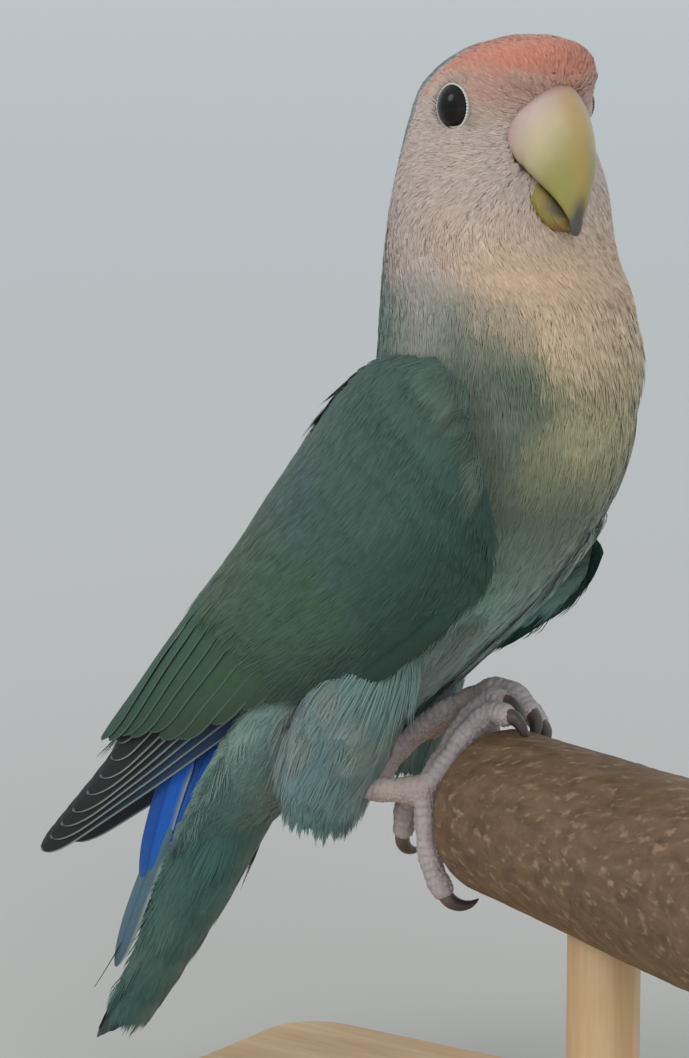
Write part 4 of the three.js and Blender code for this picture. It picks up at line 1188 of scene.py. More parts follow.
def wing_fringe(seed, far):
    """Loose body feathers that fall over the wing's leading edge."""
    draw = np.random.default_rng(seed)
    count = 260
    a = draw.uniform(0.1 if far else -0.03, 0.43, count)
    b = front_limit(a, far) + draw.uniform(-0.03, 0.08 if far else 0.03, count)
    p, n, way = wing_frame(a, b)
    side = np.cross(way, n)
    rise = np.interp(b - front_limit(a, far), [-0.03, 0.03], [-1.7, -0.4]) + 0.4 * smooth(a, 0.12, 0.0)
    p = p + n * rise[:, None]
    tone = smooth(noise(p, 2.0, 12), -0.3, 0.5)
    colour = mix(C["covert_dark"], C["side"], np.maximum(0.6 * tone, 0.3 * smooth(a, 0.06, -0.02)))
    # Painted light: drawn paler along the wing's lower edge, as the belly's edge is
    colour = mix(colour, C["painted_light_edge"], smooth(a, 0.12, 0.3) * smooth(b, 0.03, -0.03) * 0.6)
    # Painted light: the far wing's fringe is drawn half again as light, where the body shades it
    colour = colour * (1 + 0.5 * far)
    sizes = (draw.uniform(4.5, 7.0, count), 0.8, 0.6, 0.2)
    uv = np.stack([0.6 + 0.38 * a, 0.93 + 0.5 * (b + 0.1)], -1)
    lie = way + side * np.interp(a, [0, 0.15], [0.3, 0.05])[:, None]
    return plant(wing_point, a, b, p, n, lie, sizes, colour, uv, seed, 0.08, (0.01, 0.01), barbs=10,
                 rows=5, wide=0.13, fray=0.12, silky=3.0, spring=0.5)


def wing_arm(far):
    """The arm under the feathers: a closed plate that sinks into the body."""
    rows, cols = 50, 26
    a = np.linspace(0.03, 0.6, rows)[:, None]
    b = np.linspace(0.0, 1.0, cols)[None]
    aa, bb = np.broadcast_arrays(a, b)
    low = front_limit(aa, far) + np.interp(aa, [0, 0.15], [0.09, 0.03])
    p, n, _ = wing_frame(aa, low + (back_limit(aa) - 0.05 - low) * bb)
    edge = np.sin(np.pi * np.clip(bb, 0.02, 0.98)) ** 0.35
    end = np.minimum(1, 0.3 + 10 * aa)
    blades = smooth(aa, 0.38, 0.6)
    outer = p - n * (1.7 - 0.9 * edge * end + 1.0 * blades + 0.6 * smooth(aa, 0.12, 0.03))[..., None]
    deep = 1.5 + 5.7 * edge ** (1 + far) * (1 - 0.45 * aa / 0.6) * (1 - 0.85 * blades)
    inner = p - n * deep[..., None] - n * 0.6
    points, faces = plate(outer, inner)
    aa, bb = both_faces(aa).ravel(), both_faces(bb).ravel()
    # Painted shade on the near wing's arm, drawn darker under its feathers; painted light on the far wing's,
    # drawn lighter where the body shades it
    colour = wing_colour(aa, bb, points) * (0.7 + 0.8 * far)
    if far:
        colour = mix(colour, C["belly"] * 0.8, smooth(aa, 0.3, 0.45) * 0.8)
    return points, faces, colour


def wing_piece(name, flip, material, points, faces, colours, uv=None, soft=None):
    """A piece of one wing, made for the right side. flip is -1 for the left side."""
    way = [1, flip, 1]
    make(name, points * way, faces[:, ::flip], material, "wing_feathers", colours, uv,
         soft=None if soft is None else soft * way)


for name, flip, seed in (("right", 1, 41), ("left", -1, 51)):
    far = float(flip < 0)
    blades_piece(f"wing_{name}_flight", wing_feathers(seed), "wing_feathers", f"wing_{name}", flip)
    points, faces, colours, uv, soft = wing_coverts(seed + 1, far)
    # Painted light: the far wing's coverts are drawn half again as light, where the body shades them
    colours = colours * (1 + 0.5 * far)
    wing_piece(f"wing_{name}_coverts", flip, WING_COAT, points, faces, colours, uv, soft)
    wing_piece(f"wing_{name}_fringe", flip, COAT, *wing_fringe(seed + 2, far))
    wing_piece(f"wing_{name}_arm", flip, WING_COAT, *wing_arm(far))


# Mantle: soft feathers that close the back between the two wings
def mantle_point(a, s):
    """s runs from -1 at the left wing's back edge to 1 at the right one's."""
    a, s = np.broadcast_arrays(np.asarray(a, float), np.asarray(s, float))
    edge = wing_point(a, 0.96 + 0 * a)
    way = unit(wing_point(a + 0.02, 0.96 + 0 * a) - wing_point(a - 0.02, 0.96 + 0 * a))
    out = unit(np.stack([way[..., 2], 0 * s, -way[..., 0]], -1))
    rise = np.interp(a, [0, 0.06, 0.13, 0.2, 0.4, 0.6, 0.78], [-5.5, -3.6, -1.6, -0.5, -0.2, -0.6, -1.2])
    middle = edge * [1, 0, 1] + out * (rise + 1.3 * (1 - s**2))[..., None]
    middle[..., 1] = edge[..., 1] * s * (1 + 0.6 / np.maximum(np.abs(edge[..., 1]), 1))
    return middle


def mantle(seed):
    draw = np.random.default_rng(seed)
    rows = []
    for k, a in enumerate(np.arange(0.03, 0.78, 0.0135)):
        wide = 2 * abs(wing_point(a, 0.96)[1]) + 1.2
        count = max(int(wide / 1.3), 3)
        s = staggered(draw, count, k, 0.25, 0.25) * 2 - 1
        rows.append(np.stack([np.full(count, a) + draw.uniform(-0.004, 0.004, count),
                              np.clip(s, -0.98, 0.98)], -1))
    a, s = np.concatenate(rows).T
    p = mantle_point(a, s)
    way = unit(mantle_point(a + 0.01, s) - mantle_point(a - 0.01, s))
    n = unit(np.cross(mantle_point(a, s + 0.02) - mantle_point(a, s - 0.02), way))
    n = np.where(n[:, :1] > 0, -n, n)
    wob = noise(p, 5.0, 4) * 0.06
    colour = mix(C["mantle"], C["covert_back"], smooth(a + wob, 0.1, 0.4))
    length = np.interp(a, [0, 0.3, 0.78], [5.5, 8.0, 9.0])
    uv = np.stack([0.1 + 0.35 * (s + 1), 0.04 + 1.1 * (a + 0.03)], -1)
    sizes = (length, 0.26 * length, 0.6, 0.3)
    coat("coat_mantle", "wing_feathers", mantle_point, a, s, p, n, way, sizes, colour, uv, seed, 0.06,
         (0.01, 0.05), material=WING_COAT, barbs=15, rows=4, wide=0.22, fray=0.07, silky=2.4, spring=0.4,
         lean=0.02, roll=0.12)
    # The bed they lie on
    aa, ss = np.meshgrid(np.linspace(0.02, 0.8, 60), np.linspace(-0.95, 0.95, 16), indexing="ij")
    top = mantle_point(aa, ss)
    way = unit(mantle_point(aa + 0.01, ss) - mantle_point(aa - 0.01, ss))
    out = unit(np.stack([way[..., 2], 0 * aa, -way[..., 0]], -1))
    deep = 0.8 + 5.0 * np.sqrt(np.clip(1 - ss**2, 0, 1)) * smooth(aa, 0.8, 0.5)
    points, faces = plate(top - 0.7 * out, top - (0.7 + deep)[..., None] * out)
    # Painted shade: the bed is drawn darker than the mantle's feathers that cover it
    colours = np.tile(C["mantle"] * 0.7, (len(points), 1))
    make("mantle_bed", points, faces, WING_COAT, "wing_feathers", colours)


mantle(71)


# Tail: places down it, out to the right, and under its upper side
TAIL_ROOT, TAIL_TIP = np.array([-35.5, 0, 58]), np.array([-59.5, 0, 13.2])
TAIL_DOWN = unit(TAIL_TIP - TAIL_ROOT)
TAIL_LENGTH = np.linalg.norm(TAIL_TIP - TAIL_ROOT)
TAIL_UP = unit(np.cross([0, 1.0, 0], TAIL_DOWN))
TAIL_RIGHT = np.array([0, -1.0, 0])


def turned(v, axis, angle):
    """Vectors turned about an axis."""
    c, s = math.cos(angle), math.sin(angle)
    return v * c + np.cross(axis, v) * s + axis * (v @ axis) * (1 - c)


def tail_blade(start, length, out_by, turn, depth, low, high, sag, roll, paint, **shape):
    way = unit(TAIL_DOWN + TAIL_RIGHT * math.tan(rad(turn)))
    root = TAIL_ROOT + TAIL_DOWN * start - TAIL_UP * depth + TAIL_RIGHT * out_by
    lifted = turned(TAIL_UP, way, rad(roll))

    def middle(t):
        return root + way * (length * t)[:, None] + TAIL_UP * (sag * t**2)[:, None]

    def out(t):
        return np.broadcast_to(lifted, (len(t), 3))

    return blade(middle, out, low, high, paint, **shape)


TAIL_FOLD = (5, 4)  # how far the first pair leans from flat, and how much further each pair below it


def tail_feathers():
    feathers = []
    draw = np.random.default_rng(61)
    for pair in range(6):
        for side in (-1, 1):
            slate = smooth(pair, 3.5, 0.5) * (1 if side > 0 else 0.5)
            blue = mix(C["tail"], C["tail_blue"], 0.25 + 0.1 * draw.uniform(-1, 1))
            outer = mix(blue, C["tail_slate"], slate)
            paint = edged(mix(C["tail"], C["tail_dark"], 0.3), outer, mix(outer, C["tail_dark"], 0.35),
                          mix(C["edge"], outer, 0.3), tip_from=0.95, edge_from=0.2, fade=0.6)
            lean = TAIL_FOLD[0] + pair * TAIL_FOLD[1]
            out_by = side * (1.0 + 2.5 * math.sin(rad(lean)))
            half = 3.3 - 0.14 * pair
            feathers.append(tail_blade(
                6, TAIL_LENGTH - 6 - pair * 1.9 + draw.uniform(-0.5, 0.2), out_by, side * 0.3 * (pair - 0.6),
                2.6 * (1 - math.cos(rad(lean))) + 0.24 * pair + (0.12 if side > 0 else 0), half, half, 0,
                -side * lean, paint, point=0.2, tip_from=0.88, ragged=0.05, seed=2 * pair + (side > 0),
                rows=36))
    # Long blue coverts heaped over the tail's upper side and its flanks
    for k in range(13):
        s = k / 6 - 1
        blue = C["rump"] * (1 + 0.12 * draw.normal())
        paint = edged(blue * 0.8, blue, mix(blue, C["tail"], 0.3), blue * 1.3, tip_from=0.9, edge_from=0.4,
                      fade=0.4)
        feathers.append(tail_blade(-5 + 2 * abs(s), 28 - 3 * abs(s) + draw.uniform(-1, 1), s * 4.9, s * -1.5,
                                   -5.0 + 3.6 * s**2, 2.3, 2.3, -2.2, s * -58, paint,
                                   point=0.25, tip_from=0.75, rows=22))
    # A long blue covert stands along each side, a slaty feather below it, and one loose barb
    for side in (1, -1):
        blue = C["rump"] * 1.15
        paint = edged(blue * 0.75, blue, mix(blue, C["tail"], 0.5), C["edge"] * 1.3, line=0.86, tip_from=0.95,
                      edge_from=0.1)
        feathers.append(tail_blade(0, 25, side * 4.6, side * -1.4, -5.4, 2.7, 2.5, -3.6, side * -84, paint,
                                   point=0.3, tip_from=0.7, rows=26))
        slate = mix(C["tail_slate"], C["tail_blue"], 0.35)
        paint = edged(slate, slate, slate * 0.8, C["edge"] * 1.3, line=0.84, tip_from=0.95, edge_from=0.1)
        feathers.append(tail_blade(14, 24, side * 4.2, side * -1.0, -2.6, 1.8, 1.8, -1.6, side * -80, paint,
                                   point=0.15, tip_from=0.6, rows=26))
        dark = edged(C["tail_dark"], C["tail_dark"], C["tail_dark"], C["tail_dark"])
        feathers.append(tail_blade(26, 17, side * 3.8, side * 0.3, -1.4, 0.13, 0.13, 1.2, side * -30, dark,
                                   point=0.4, thick=0.12, cup=0, rows=20))
    return feathers


blades_piece("tail_blades", tail_feathers(), "tail_feathers", "tail")


def under_tail():
    """The long soft coverts under the tail, in rows down to two thirds of it."""
    draw = np.random.default_rng(62)
    rows = []
    for k, d in enumerate(np.arange(-6, 39, 1.15)):
        wide = np.interp(d, [-6, 5, 39], [8.4, 7.0, 5.0])
        count = int(3.2 * wide / 1.2)
        s = (staggered(draw, count, k, 0.3) * 2 - 1) * 0.94
        rows.append(np.stack([np.full(count, d) + draw.uniform(-0.5, 0.5, count), s], -1))
    d, s = np.concatenate(rows).T

    def surface(d, s):
        wide = np.interp(d, [-6, 5, 20, 33, 50], [8.2, 6.8, 6.0, 5.5, 4.4])
        deep = np.interp(d, [-6, 5, 14, 23, 32, 40, 50], [10.2, 9.7, 9.2, 8.4, 7.4, 6.4, 4.6])
        turn = 0.5 * np.pi * s
        depth = 0.4 + (deep - 0.4) * np.sign(np.cos(turn)) * np.abs(np.cos(turn)) ** 0.8
        return (TAIL_ROOT + TAIL_DOWN * d[..., None] + TAIL_RIGHT * (wide * np.sin(turn))[..., None]
                - TAIL_UP * depth[..., None])

    p = surface(d, s)
    pd = surface(d + 0.3, s) - surface(d - 0.3, s)
    ps = surface(d, s + 0.02) - surface(d, s - 0.02)
    n = unit(np.cross(pd, ps))
    n = facing(n, p - (TAIL_ROOT + TAIL_DOWN * d[:, None] - 4 * TAIL_UP))
    way = unit(pd)
    length = np.interp(d, [-6, 10, 27, 39], [10.0, 13.0, 11.0, 8.0])
    length = length * (1 - 0.4 * smooth(np.abs(s), 0.6, 0.94) * smooth(d, 12, 2))
    wob = noise(p, 4.0, 7)
    colour = mix(C["under_tail"], C["tail"], smooth(np.abs(s) + 0.3 * wob, 0.5, 1.0) * 0.6)
    colour = mix(colour, C["side"], smooth(wob, 0.1, 0.8) * 0.25)
    colour = mix(C["vent"], colour, smooth(d + 2 * wob, -9, 1))
    uv = np.stack([0.05 + 0.4 * (s + 1), 0.05 + 0.9 * (d + 7) / 42], -1)
    sizes = (length, 0.14 * length, 0.5, 0.8)
    coat("coat_under_tail", "tail_feathers", surface, d, s, p, n, way, sizes, colour, uv, 63, 0.04,
         (0.3, 0.02), barbs=15, rows=5, wide=0.2, fray=0.05, silky=2.6, spring=0.45, lean=0.03)


under_tail()


def horn_material(name, rough, bump_scale, bump_depth, **sockets):
    """Horn, painted by the mesh, with a fine grain of noise in its colour and its relief."""
    material, nodes, links, shader = node_tree(name, rough, **sockets)
    grain = painted(nodes, links, shader, bump_scale, 6, 0.88, 1.1, 0.6)
    bump_chain(nodes, links, shader, grain, 0.4, bump_depth)
    return material


BILL_GROWTH = 0.035  # how strongly the lines of growth swell the bill
BILL_NET = (90, 72)  # rings down each half of the bill and points round it
BILL_HORN = horn_material("bill_horn", 0.38, 700, 0.00012, Specular_IOR_Level=0.5, Subsurface_Weight=0.08,
                          Subsurface_Scale=0.001, Coat_Weight=0.15, Coat_Roughness=0.25)
CLAW_HORN = horn_material("claw_horn", 0.28, 1200, 0.00006, Specular_IOR_Level=0.55, Coat_Weight=0.3,
                          Coat_Roughness=0.15)


def closed_rings(rings, low, high):
    """Rings of points and the two end points that close them."""
    rows, cols = rings.shape[:2]
    points = np.concatenate([rings.reshape(-1, 3), np.array([low, high])])
    faces = grid_faces(rows, cols)
    tris = np.concatenate([faces[:, [0, 1, 2]], faces[:, [0, 2, 3]]])
    j = np.arange(cols)
    k = (j + 1) % cols
    last = (rows - 1) * cols
    ends = np.concatenate([np.stack([np.full(cols, rows * cols), k, j], -1),
                           np.stack([np.full(cols, rows * cols + 1), last + j, last + k], -1)])
    return points, np.concatenate([tris, ends])


def bill_part(name, form, paint, replaces):
    points, t, a = bill_rings(form, *BILL_NET, BILL_GROWTH)
    points, faces = closed_rings(points, on_head(form["top"][0][0] - 1, 0, form["low"][0][1] + 3),
                                 on_head(form["tip"][0], 0, form["tip"][1]))
    t, a = np.broadcast_arrays(t, a)
    colours = paint(t, a)
    colours = np.concatenate([colours.reshape(-1, 3), colours[0, :1], colours[-1, :1]])
    colours = colours * (1 + 0.05 * noise(points, 1.2) + 0.05 * noise(points, 3.0, 2))[:, None]
    make(name, points, faces, BILL_HORN, "bill_horn", colours, replaces=(replaces,))


def paint_upper(t, a):
    side = np.abs((a + np.pi) % (2 * np.pi) - np.pi) / np.pi  # 0 along the ridge, 1 at the cutting edge
    down = np.clip(t, 0, 1.2)
    colour = mix(C["bill_base"], C["bill_side"], smooth(down + 0.25 * (side - 0.4), 0.14, 0.45))
    colour = mix(colour, C["bill_low"], smooth(down + 0.12 * (side - 0.3), 0.4, 0.72))
    ridge = np.exp(-((side / 0.19) ** 2)) * smooth(down, 0.1, 0.35)
    colour = mix(colour, C["bill_ridge"], 0.7 * ridge)
    colour = mix(colour, C["bill_tip"], smooth(down + 0.05 * np.cos(2 * a), 0.8, 1.02) ** 1.3)
    skin = mix(C["cere"] * 0.8, C["bill_base"], 0.4)
    colour = mix(skin, colour, smooth(down + 0.03 * np.sin(9 * side), 0.08, 0.24))
    # Painted shade: the cutting edge is drawn in the mouth's dark colour, deepening the mouth's line
    return mix(colour, C["mouth"], smooth(side, 0.88, 0.97))


def paint_lower(t, a):
    up = np.cos(a)
    colour = mix(C["bill_under"], C["bill_side"], smooth(t, 0.5, 0.1) * 0.3)
    front = smooth(t, 0.72, 1.1)
    colour = mix(colour, C["bill_tip"], 0.85 * front * smooth(up, -0.5, 0.4))
    colour = mix(colour, rgb(150, 104, 62), 0.6 * smooth(t, 0.6, 0.9) * smooth(up, -0.3, -0.8))
    # Painted shade: the top of the lower bill, under the upper one, is drawn in the mouth's dark colour
    return mix(colour, C["mouth"], smooth(up, 0.72, 0.92))


bill_part("bill_upper_horn", BILL_UPPER, paint_upper, "bill_upper")
bill_part("bill_lower_horn", BILL_LOWER, paint_lower, "bill_lower")


def gape_piece(name, turn):
    """The fold of skin at the mouth's corner, along the upper bill's cutting edge, drawn dark as painted
    shade in the mouth's line.
    """
    rings = bill_rings(BILL_UPPER, *BILL_NET)[0]
    column = int(round(turn / (2 * np.pi) * BILL_NET[1])) % BILL_NET[1]
    path = rings[2:34, column]
    out = unit(path - rings[2:34].mean(1))
    path = path - out * 0.05 - UP * 0.1
    r = 0.22 * np.sin(np.pi * np.linspace(0.12, 0.98, len(path))) ** 0.5
    ahead = unit(np.gradient(path, axis=0))
    side = unit(np.cross(ahead, out))
    points, faces = closed_rings(circles(path, r, out, side, 14), path[0], path[-1])
    tone = 0.5 + 0.5 * noise(points, 0.8)
    make(name, points, faces, LID, "head_feathers", mix(C["mouth"], C["cere"] * 0.45, tone * 0.5))


# Eyes: a dark glossy ball in a pale granular ring of bare skin
def round_piece(name, centre, way, profile, around, paint, material, slot, bead=0.0, beads=40, replaces=(),
                seed=0, narrow=1.0):
    """A surface of revolution about a way: profile gives (radius, ahead), from its rim or its middle on."""
    side = unit(np.cross(way, UP))
    other = np.cross(side, way)
    phi = once_round(around)
    r, ahead = np.array(profile, float).T
    draw = np.random.default_rng(seed)
    phase = draw.uniform(0, 2 * np.pi, len(r))
    lump = bead * np.sin(np.pi * np.linspace(0, 1, len(r)))[:, None] * (
        np.abs(np.sin(beads / 2 * phi[None] + phase[:, None] * 0.15 + 0.5 * np.sin(3 * phi[None]))) - 0.4)
    rr = r[:, None]
    hh = ahead[:, None] + lump
    points = (centre + way * hh[..., None] + side * (narrow * rr * np.cos(phi)[None])[..., None]
              + other * (rr * np.sin(phi)[None])[..., None])
    rows = len(r)
    ends = [centre + way * ahead[0], centre + way * ahead[-1]]
    out, faces = closed_rings(points, *ends)
    colours = paint(np.broadcast_to(np.linspace(0, 1, rows)[:, None], (rows, around)),
                    np.broadcast_to(phi[None], (rows, around)), lump / max(bead, 1e-6))
    colours = np.concatenate([colours.reshape(-1, 3), colours[0, :1], colours[-1, :1]])
    make(name, out, faces, material, slot, colours, replaces=replaces)


EYE_GLOSS = horn_material("eye_gloss", 0.3, 300, 0.0, Specular_IOR_Level=0.1, Coat_Weight=0.35,
                          Coat_Roughness=0.06)
LID = horn_material("lid_skin", 0.6, 2400, 0.00008, Specular_IOR_Level=0.35, Subsurface_Weight=0.1,
                    Subsurface_Scale=0.0006)
BALL = 3.2
EYE_OPEN = math.pi * 0.62  # how far round from its middle the eyeball is made
GAPE_TURN = 2.42  # from the ridge round to the cutting edge


gape_piece("gape_right", GAPE_TURN)
gape_piece("gape_left", 2 * math.pi - GAPE_TURN)


def paint_eye(t, phi, _):
    turn = t * EYE_OPEN
    iris = smooth(turn, rad(31), rad(34)) * smooth(turn, rad(62), rad(52))
    streak = 0.7 + 0.3 * np.sin(40 * phi + 4 * np.sin(7 * phi))
    return mix(rgb(7, 6, 7), rgb(32, 22, 20), iris * streak)


def paint_lid(t, phi, lump):
    colour = mix(C["lid"], C["lid_skin"], smooth(t, 0.45, 0.7))
    colour = mix(colour, rgb(60, 50, 46), smooth(t, 0.22, 0.08))
    # Painted shade: the ring is drawn lighter on the granules' tops and darker between them
    return colour * (0.8 + 0.35 * lump)[..., None]


for name, side in (("right", 1), ("left", -1)):
    turns = np.linspace(0.01, EYE_OPEN, 40)
    ball = [(BALL * math.sin(v), BALL * math.cos(v) * 0.97) for v in turns]
    round_piece(f"eye_{name}_ball", eye_centre(side), eye_way(side), ball, 96, paint_eye, EYE_GLOSS, "eye",
                replaces=(f"eye_{name}",), narrow=EYE_NARROW)
    rim = [(2.63, 1.3), (2.66, 1.54), (2.7, 1.69), (2.76, 1.77), (2.83, 1.78), (2.9, 1.72), (2.97, 1.6),
           (3.04, 1.42), (3.1, 1.15), (3.15, 0.8), (3.18, 0.3)]
    round_piece(f"eye_{name}_lids", eye_centre(side), eye_way(side), rim, 220, paint_lid, LID,
                "head_feathers", bead=0.2, beads=46, seed=70 + side, narrow=EYE_NARROW)


def eye_feathers():
    """Rings of the smallest feathers, that rise from the face onto the lids."""
    parts = []
    for side in (1, -1):
        way = eye_way(side)
        across = unit(np.cross(way, UP))
        upward = np.cross(across, way)
        draw = np.random.default_rng(90 + side)
        rows = []
        for r, h, count in ((2.95, 0.8, 76), (3.2, 0.6, 84)):
            turn = staggered(draw, count, 0, 0.4) * 2 * np.pi
            rows.append(np.stack([turn, np.full(count, r), np.full(count, h)], -1))
        turn, r, h = np.concatenate(rows).T
        out = across * (EYE_NARROW * np.cos(turn))[:, None] + upward * np.sin(turn)[:, None]
        p = eye_centre(side) + out * r[:, None] + way * h[:, None]
        keep = dot(out, bill_way(p)) > -0.15
        turn, r, out, p = kept(keep, turn, r, out, p)
        u, a = nearest_on_body(p)
        on, n, _ = body_frame(u, a)
        p = np.where((dot(p - on, n) < -0.4)[:, None], on - 0.4 * n, p)
        lie = unit(out + 0.9 * bill_way(p))
        n = unit(way + 0.6 * out)
        n = unit(n - lie * dot(n, lie)[:, None])
        colour = plumage(p, np.cos(a))
        uv = np.stack([0.71 + 0.008 * r, 0.9 + 0.0002 * turn], -1)
        parts.append(tufts(p, n, lie, 1.5, 0.42, 0.22, 6, 3, 0.14, colour, uv, np.full(len(p), 0.1),
                           np.zeros(len(p)), sink=0.1, seed=95 + side))
    points, faces, colours, uv, soft = merge(parts)
    make("coat_eyes", points, faces, COAT, "head_feathers", colours, uv, soft=soft)


eye_feathers()


# Fine feathers on the cere round two bare nostril pads
def cere_coat():
    draw = np.random.default_rng(81)
    u, a = np.meshgrid(np.linspace(0.05, 0.95, 32), np.linspace(-0.85, 2.3, 24), indexing="ij")
    u, a = u.ravel(), a.ravel()
    u = u + draw.uniform(-0.012, 0.012, len(u))
    a = a + draw.uniform(-0.07, 0.07, len(a))
    p, n, _ = frame_on(cere_point, u, a, 4e-3)
    middle = on_head(CERE_AHEAD - 1, 0, CERE_UP - 1)
    n = facing(n, p - middle)
    up = head_places(p)[2]
    far = np.full(len(p), 9.0)
    clear = np.full(len(p), 9.0)
    for side in (1, -1):
        hole = nostril(side)
        far = np.minimum(far, np.linalg.norm(p - hole, axis=-1))
        for reach in (0.0, 0.5, 1.0, 1.5):
            clear = np.minimum(clear, np.linalg.norm(p + reach * bill_way(p) - hole, axis=-1))
    keep = (clear > 0.55) & ~in_bill(p, 0.1) & (up > 2.6)
    u, a, p, n, far = kept(keep, u, a, p, n, far)
    colour = mix(C["brow"], plumage(p, 0 * u), smooth(head_places(p)[2], 4.5, 8))
    colour = mix(C["cere"], colour, smooth(far, 1.0, 2.6))
    sizes = (1.6, 0.5, 0.36, 0.3)
    uv = np.stack([0.76 + 0.2 * u, 0.5 + 0.1 * a], -1)
    coat("coat_cere", "head_feathers", cere_point, u, a, p, n, bill_way(p), sizes, colour, uv, 82, 0.15,
         (4e-3, 0.02), barbs=6, rows=3, wide=0.18, dark_root=0.9, roll=0.2)


cere_coat()


NOSTRIL_PAD = [(0.02, -0.75), (0.16, -0.72), (0.26, -0.55), (0.32, -0.3), (0.4, -0.1), (0.52, 0.02),
               (0.7, 0.04), (0.95, -0.06), (1.2, -0.25), (1.4, -0.55), (1.5, -0.9)]


def paint_nostril(t, phi, _):
    r = np.interp(t, np.linspace(0, 1, len(NOSTRIL_PAD)), [q[0] for q in NOSTRIL_PAD])
    slit = np.hypot(r * np.cos(phi) / 0.55, r * np.sin(phi) / 0.8)
    # Painted shade: the nostril's opening is drawn dark brown inside its pad
    return mix(rgb(46, 26, 24), mix(C["cere"], C["salmon"], 0.5) * 0.85, smooth(slit, 0.9, 1.2))


for name, side in (("right", 1), ("left", -1)):
    way = unit(nostril(side) - on_head(9.4, side * 0.9, 4.2))
    round_piece(f"nostril_{name}", nostril(side), way, NOSTRIL_PAD, 60, paint_nostril, LID, "head_feathers",
                narrow=0.62)


# Perch places: along its axis from the rear end, out to its right, and up from its axis
PERCH_REAR, PERCH_YAW, PERCH_LENGTH = np.array([8, -1.3, 56.3]), rad(-25), 68
PERCH_RADII, PERCH_ROUND = (11, 12.5), 2.6
PERCH_WAY = np.array([math.cos(PERCH_YAW), math.sin(PERCH_YAW), 0])
PERCH_RIGHT = np.array([math.sin(PERCH_YAW), -math.cos(PERCH_YAW), 0])


def on_perch(on, right, up):
    return PERCH_REAR + on * PERCH_WAY + right * PERCH_RIGHT + up * UP


def wood_material(name, dark, light, fleck, rough, grain_way, stretch, scale):
    """Wood: long grain, blotches and short flecks."""
    material, nodes, links, shader = node_tree(name, rough, Specular_IOR_Level=0.3)
    place = nodes.new("ShaderNodeTexCoord")
    turn = node(nodes, "Mapping", Rotation=grain_way, Scale=stretch)
    links.new(place.outputs["Object"], turn.inputs["Vector"])
    grain = node(nodes, "TexNoise", Scale=scale, Detail=8, Roughness=0.65, Distortion=0.6)
    links.new(turn.outputs["Vector"], grain.inputs["Vector"])
    tones = nodes.new("ShaderNodeValToRGB")
    tones.color_ramp.elements[0].position = 0.32
    tones.color_ramp.elements[0].color = (*dark, 1)
    tones.color_ramp.elements[1].position = 0.7
    tones.color_ramp.elements[1].color = (*light, 1)
    links.new(grain.outputs["Fac"], tones.inputs["Fac"])
    spots = node(nodes, "TexNoise", Scale=scale * 2.2, Detail=3)
    links.new(turn.outputs["Vector"], spots.inputs["Vector"])
    pick = node(nodes, "MapRange", From_Min=0.56, From_Max=0.7)
    links.new(spots.outputs["Fac"], pick.inputs["Value"])
    flecked = colour_between(nodes, links, pick.outputs["Result"], tones.outputs["Color"], fleck)
    links.new(flecked, shader.inputs["Base Color"])
    bump_chain(nodes, links, shader, grain.outputs["Fac"], 0.5, 0.0003)
    return material


def perch_piece():
    arc = np.linspace(0, 1, 14)
    s_rear = PERCH_ROUND * (1 - np.cos(arc * np.pi / 2))
    s = np.concatenate([s_rear, np.linspace(PERCH_ROUND, PERCH_LENGTH - PERCH_ROUND, 190)[1:-1],
                        PERCH_LENGTH - s_rear[::-1]])
    drop = np.concatenate([PERCH_ROUND * (1 - np.sin(arc * np.pi / 2)), np.zeros(188),
                           PERCH_ROUND * (1 - np.sin(arc[::-1] * np.pi / 2))])
    radius = np.interp(s, [PERCH_ROUND, PERCH_LENGTH - PERCH_ROUND], PERCH_RADII) - drop
    # Flat ends: a few rings run in to the middle
    ends = np.array([0.05, 0.3, 0.6, 0.85])
    s = np.concatenate([np.zeros(4), s, np.full(4, PERCH_LENGTH)])
    radius = np.concatenate([ends * radius[0], radius, ends[::-1] * radius[-1]])
    a = once_round(200)
    ss, aa = np.broadcast_arrays(s[:, None], a[None])
    rr = np.broadcast_to(radius[:, None], ss.shape)

    def points(r):
        return (PERCH_REAR + ss[..., None] * PERCH_WAY + (r * np.sin(aa))[..., None] * PERCH_RIGHT
                + (r * np.cos(aa))[..., None] * UP)

    base = points(rr)
    turned_place = np.stack([ss * 0.22, rr * np.cos(aa), rr * np.sin(aa)], -1)
    rough = 0.10 * noise(base, 9.0) + 0.05 * noise(turned_place, 1.0, 3) + 0.03 * noise(base, 1.6, 5)
    # Small raised pores, longer round the branch than along it
    pores = noise(np.stack([ss * 1.0, rr * np.cos(aa) * 0.55, rr * np.sin(aa) * 0.55], -1), 1.0, 8)
    rough = rough + 0.06 * smooth(pores, 0.35, 0.8) - 0.05 * smooth(-pores, 0.5, 0.9)
    edge = smooth(rr, 3, 9)
    out = points(rr + (rough - 0.08) * edge)
    out = out + PERCH_WAY * (0.06 * noise(base, 1.4, 6) * (1 - edge) * np.where(ss < 1, -1, 1))[..., None]
    out, faces = closed_rings(out, PERCH_REAR, PERCH_REAR + PERCH_WAY * PERCH_LENGTH)
    make("perch_wood", out, faces, PERCH_WOOD, "perch_wood", replaces=("perch",))


PERCH_WOOD = wood_material("branch", rgb(92, 70, 52), rgb(130, 104, 80), rgb(150, 124, 98), 0.62,
                           (0, 0, -PERCH_YAW), (0.45, 1.0, 1.0), 420)
STAND_WOOD = wood_material("stand_wood", rgb(196, 160, 118), rgb(222, 192, 152), rgb(206, 172, 130), 0.5,
                           (0, 0, 0), (0.08, 1.0, 1.0), 260)
ROD_WOOD = wood_material("rod_wood", rgb(196, 160, 118), rgb(222, 192, 152), rgb(206, 172, 130), 0.5,
                         (0, 0, 0), (1.0, 1.0, 0.08), 260)
perch_piece()

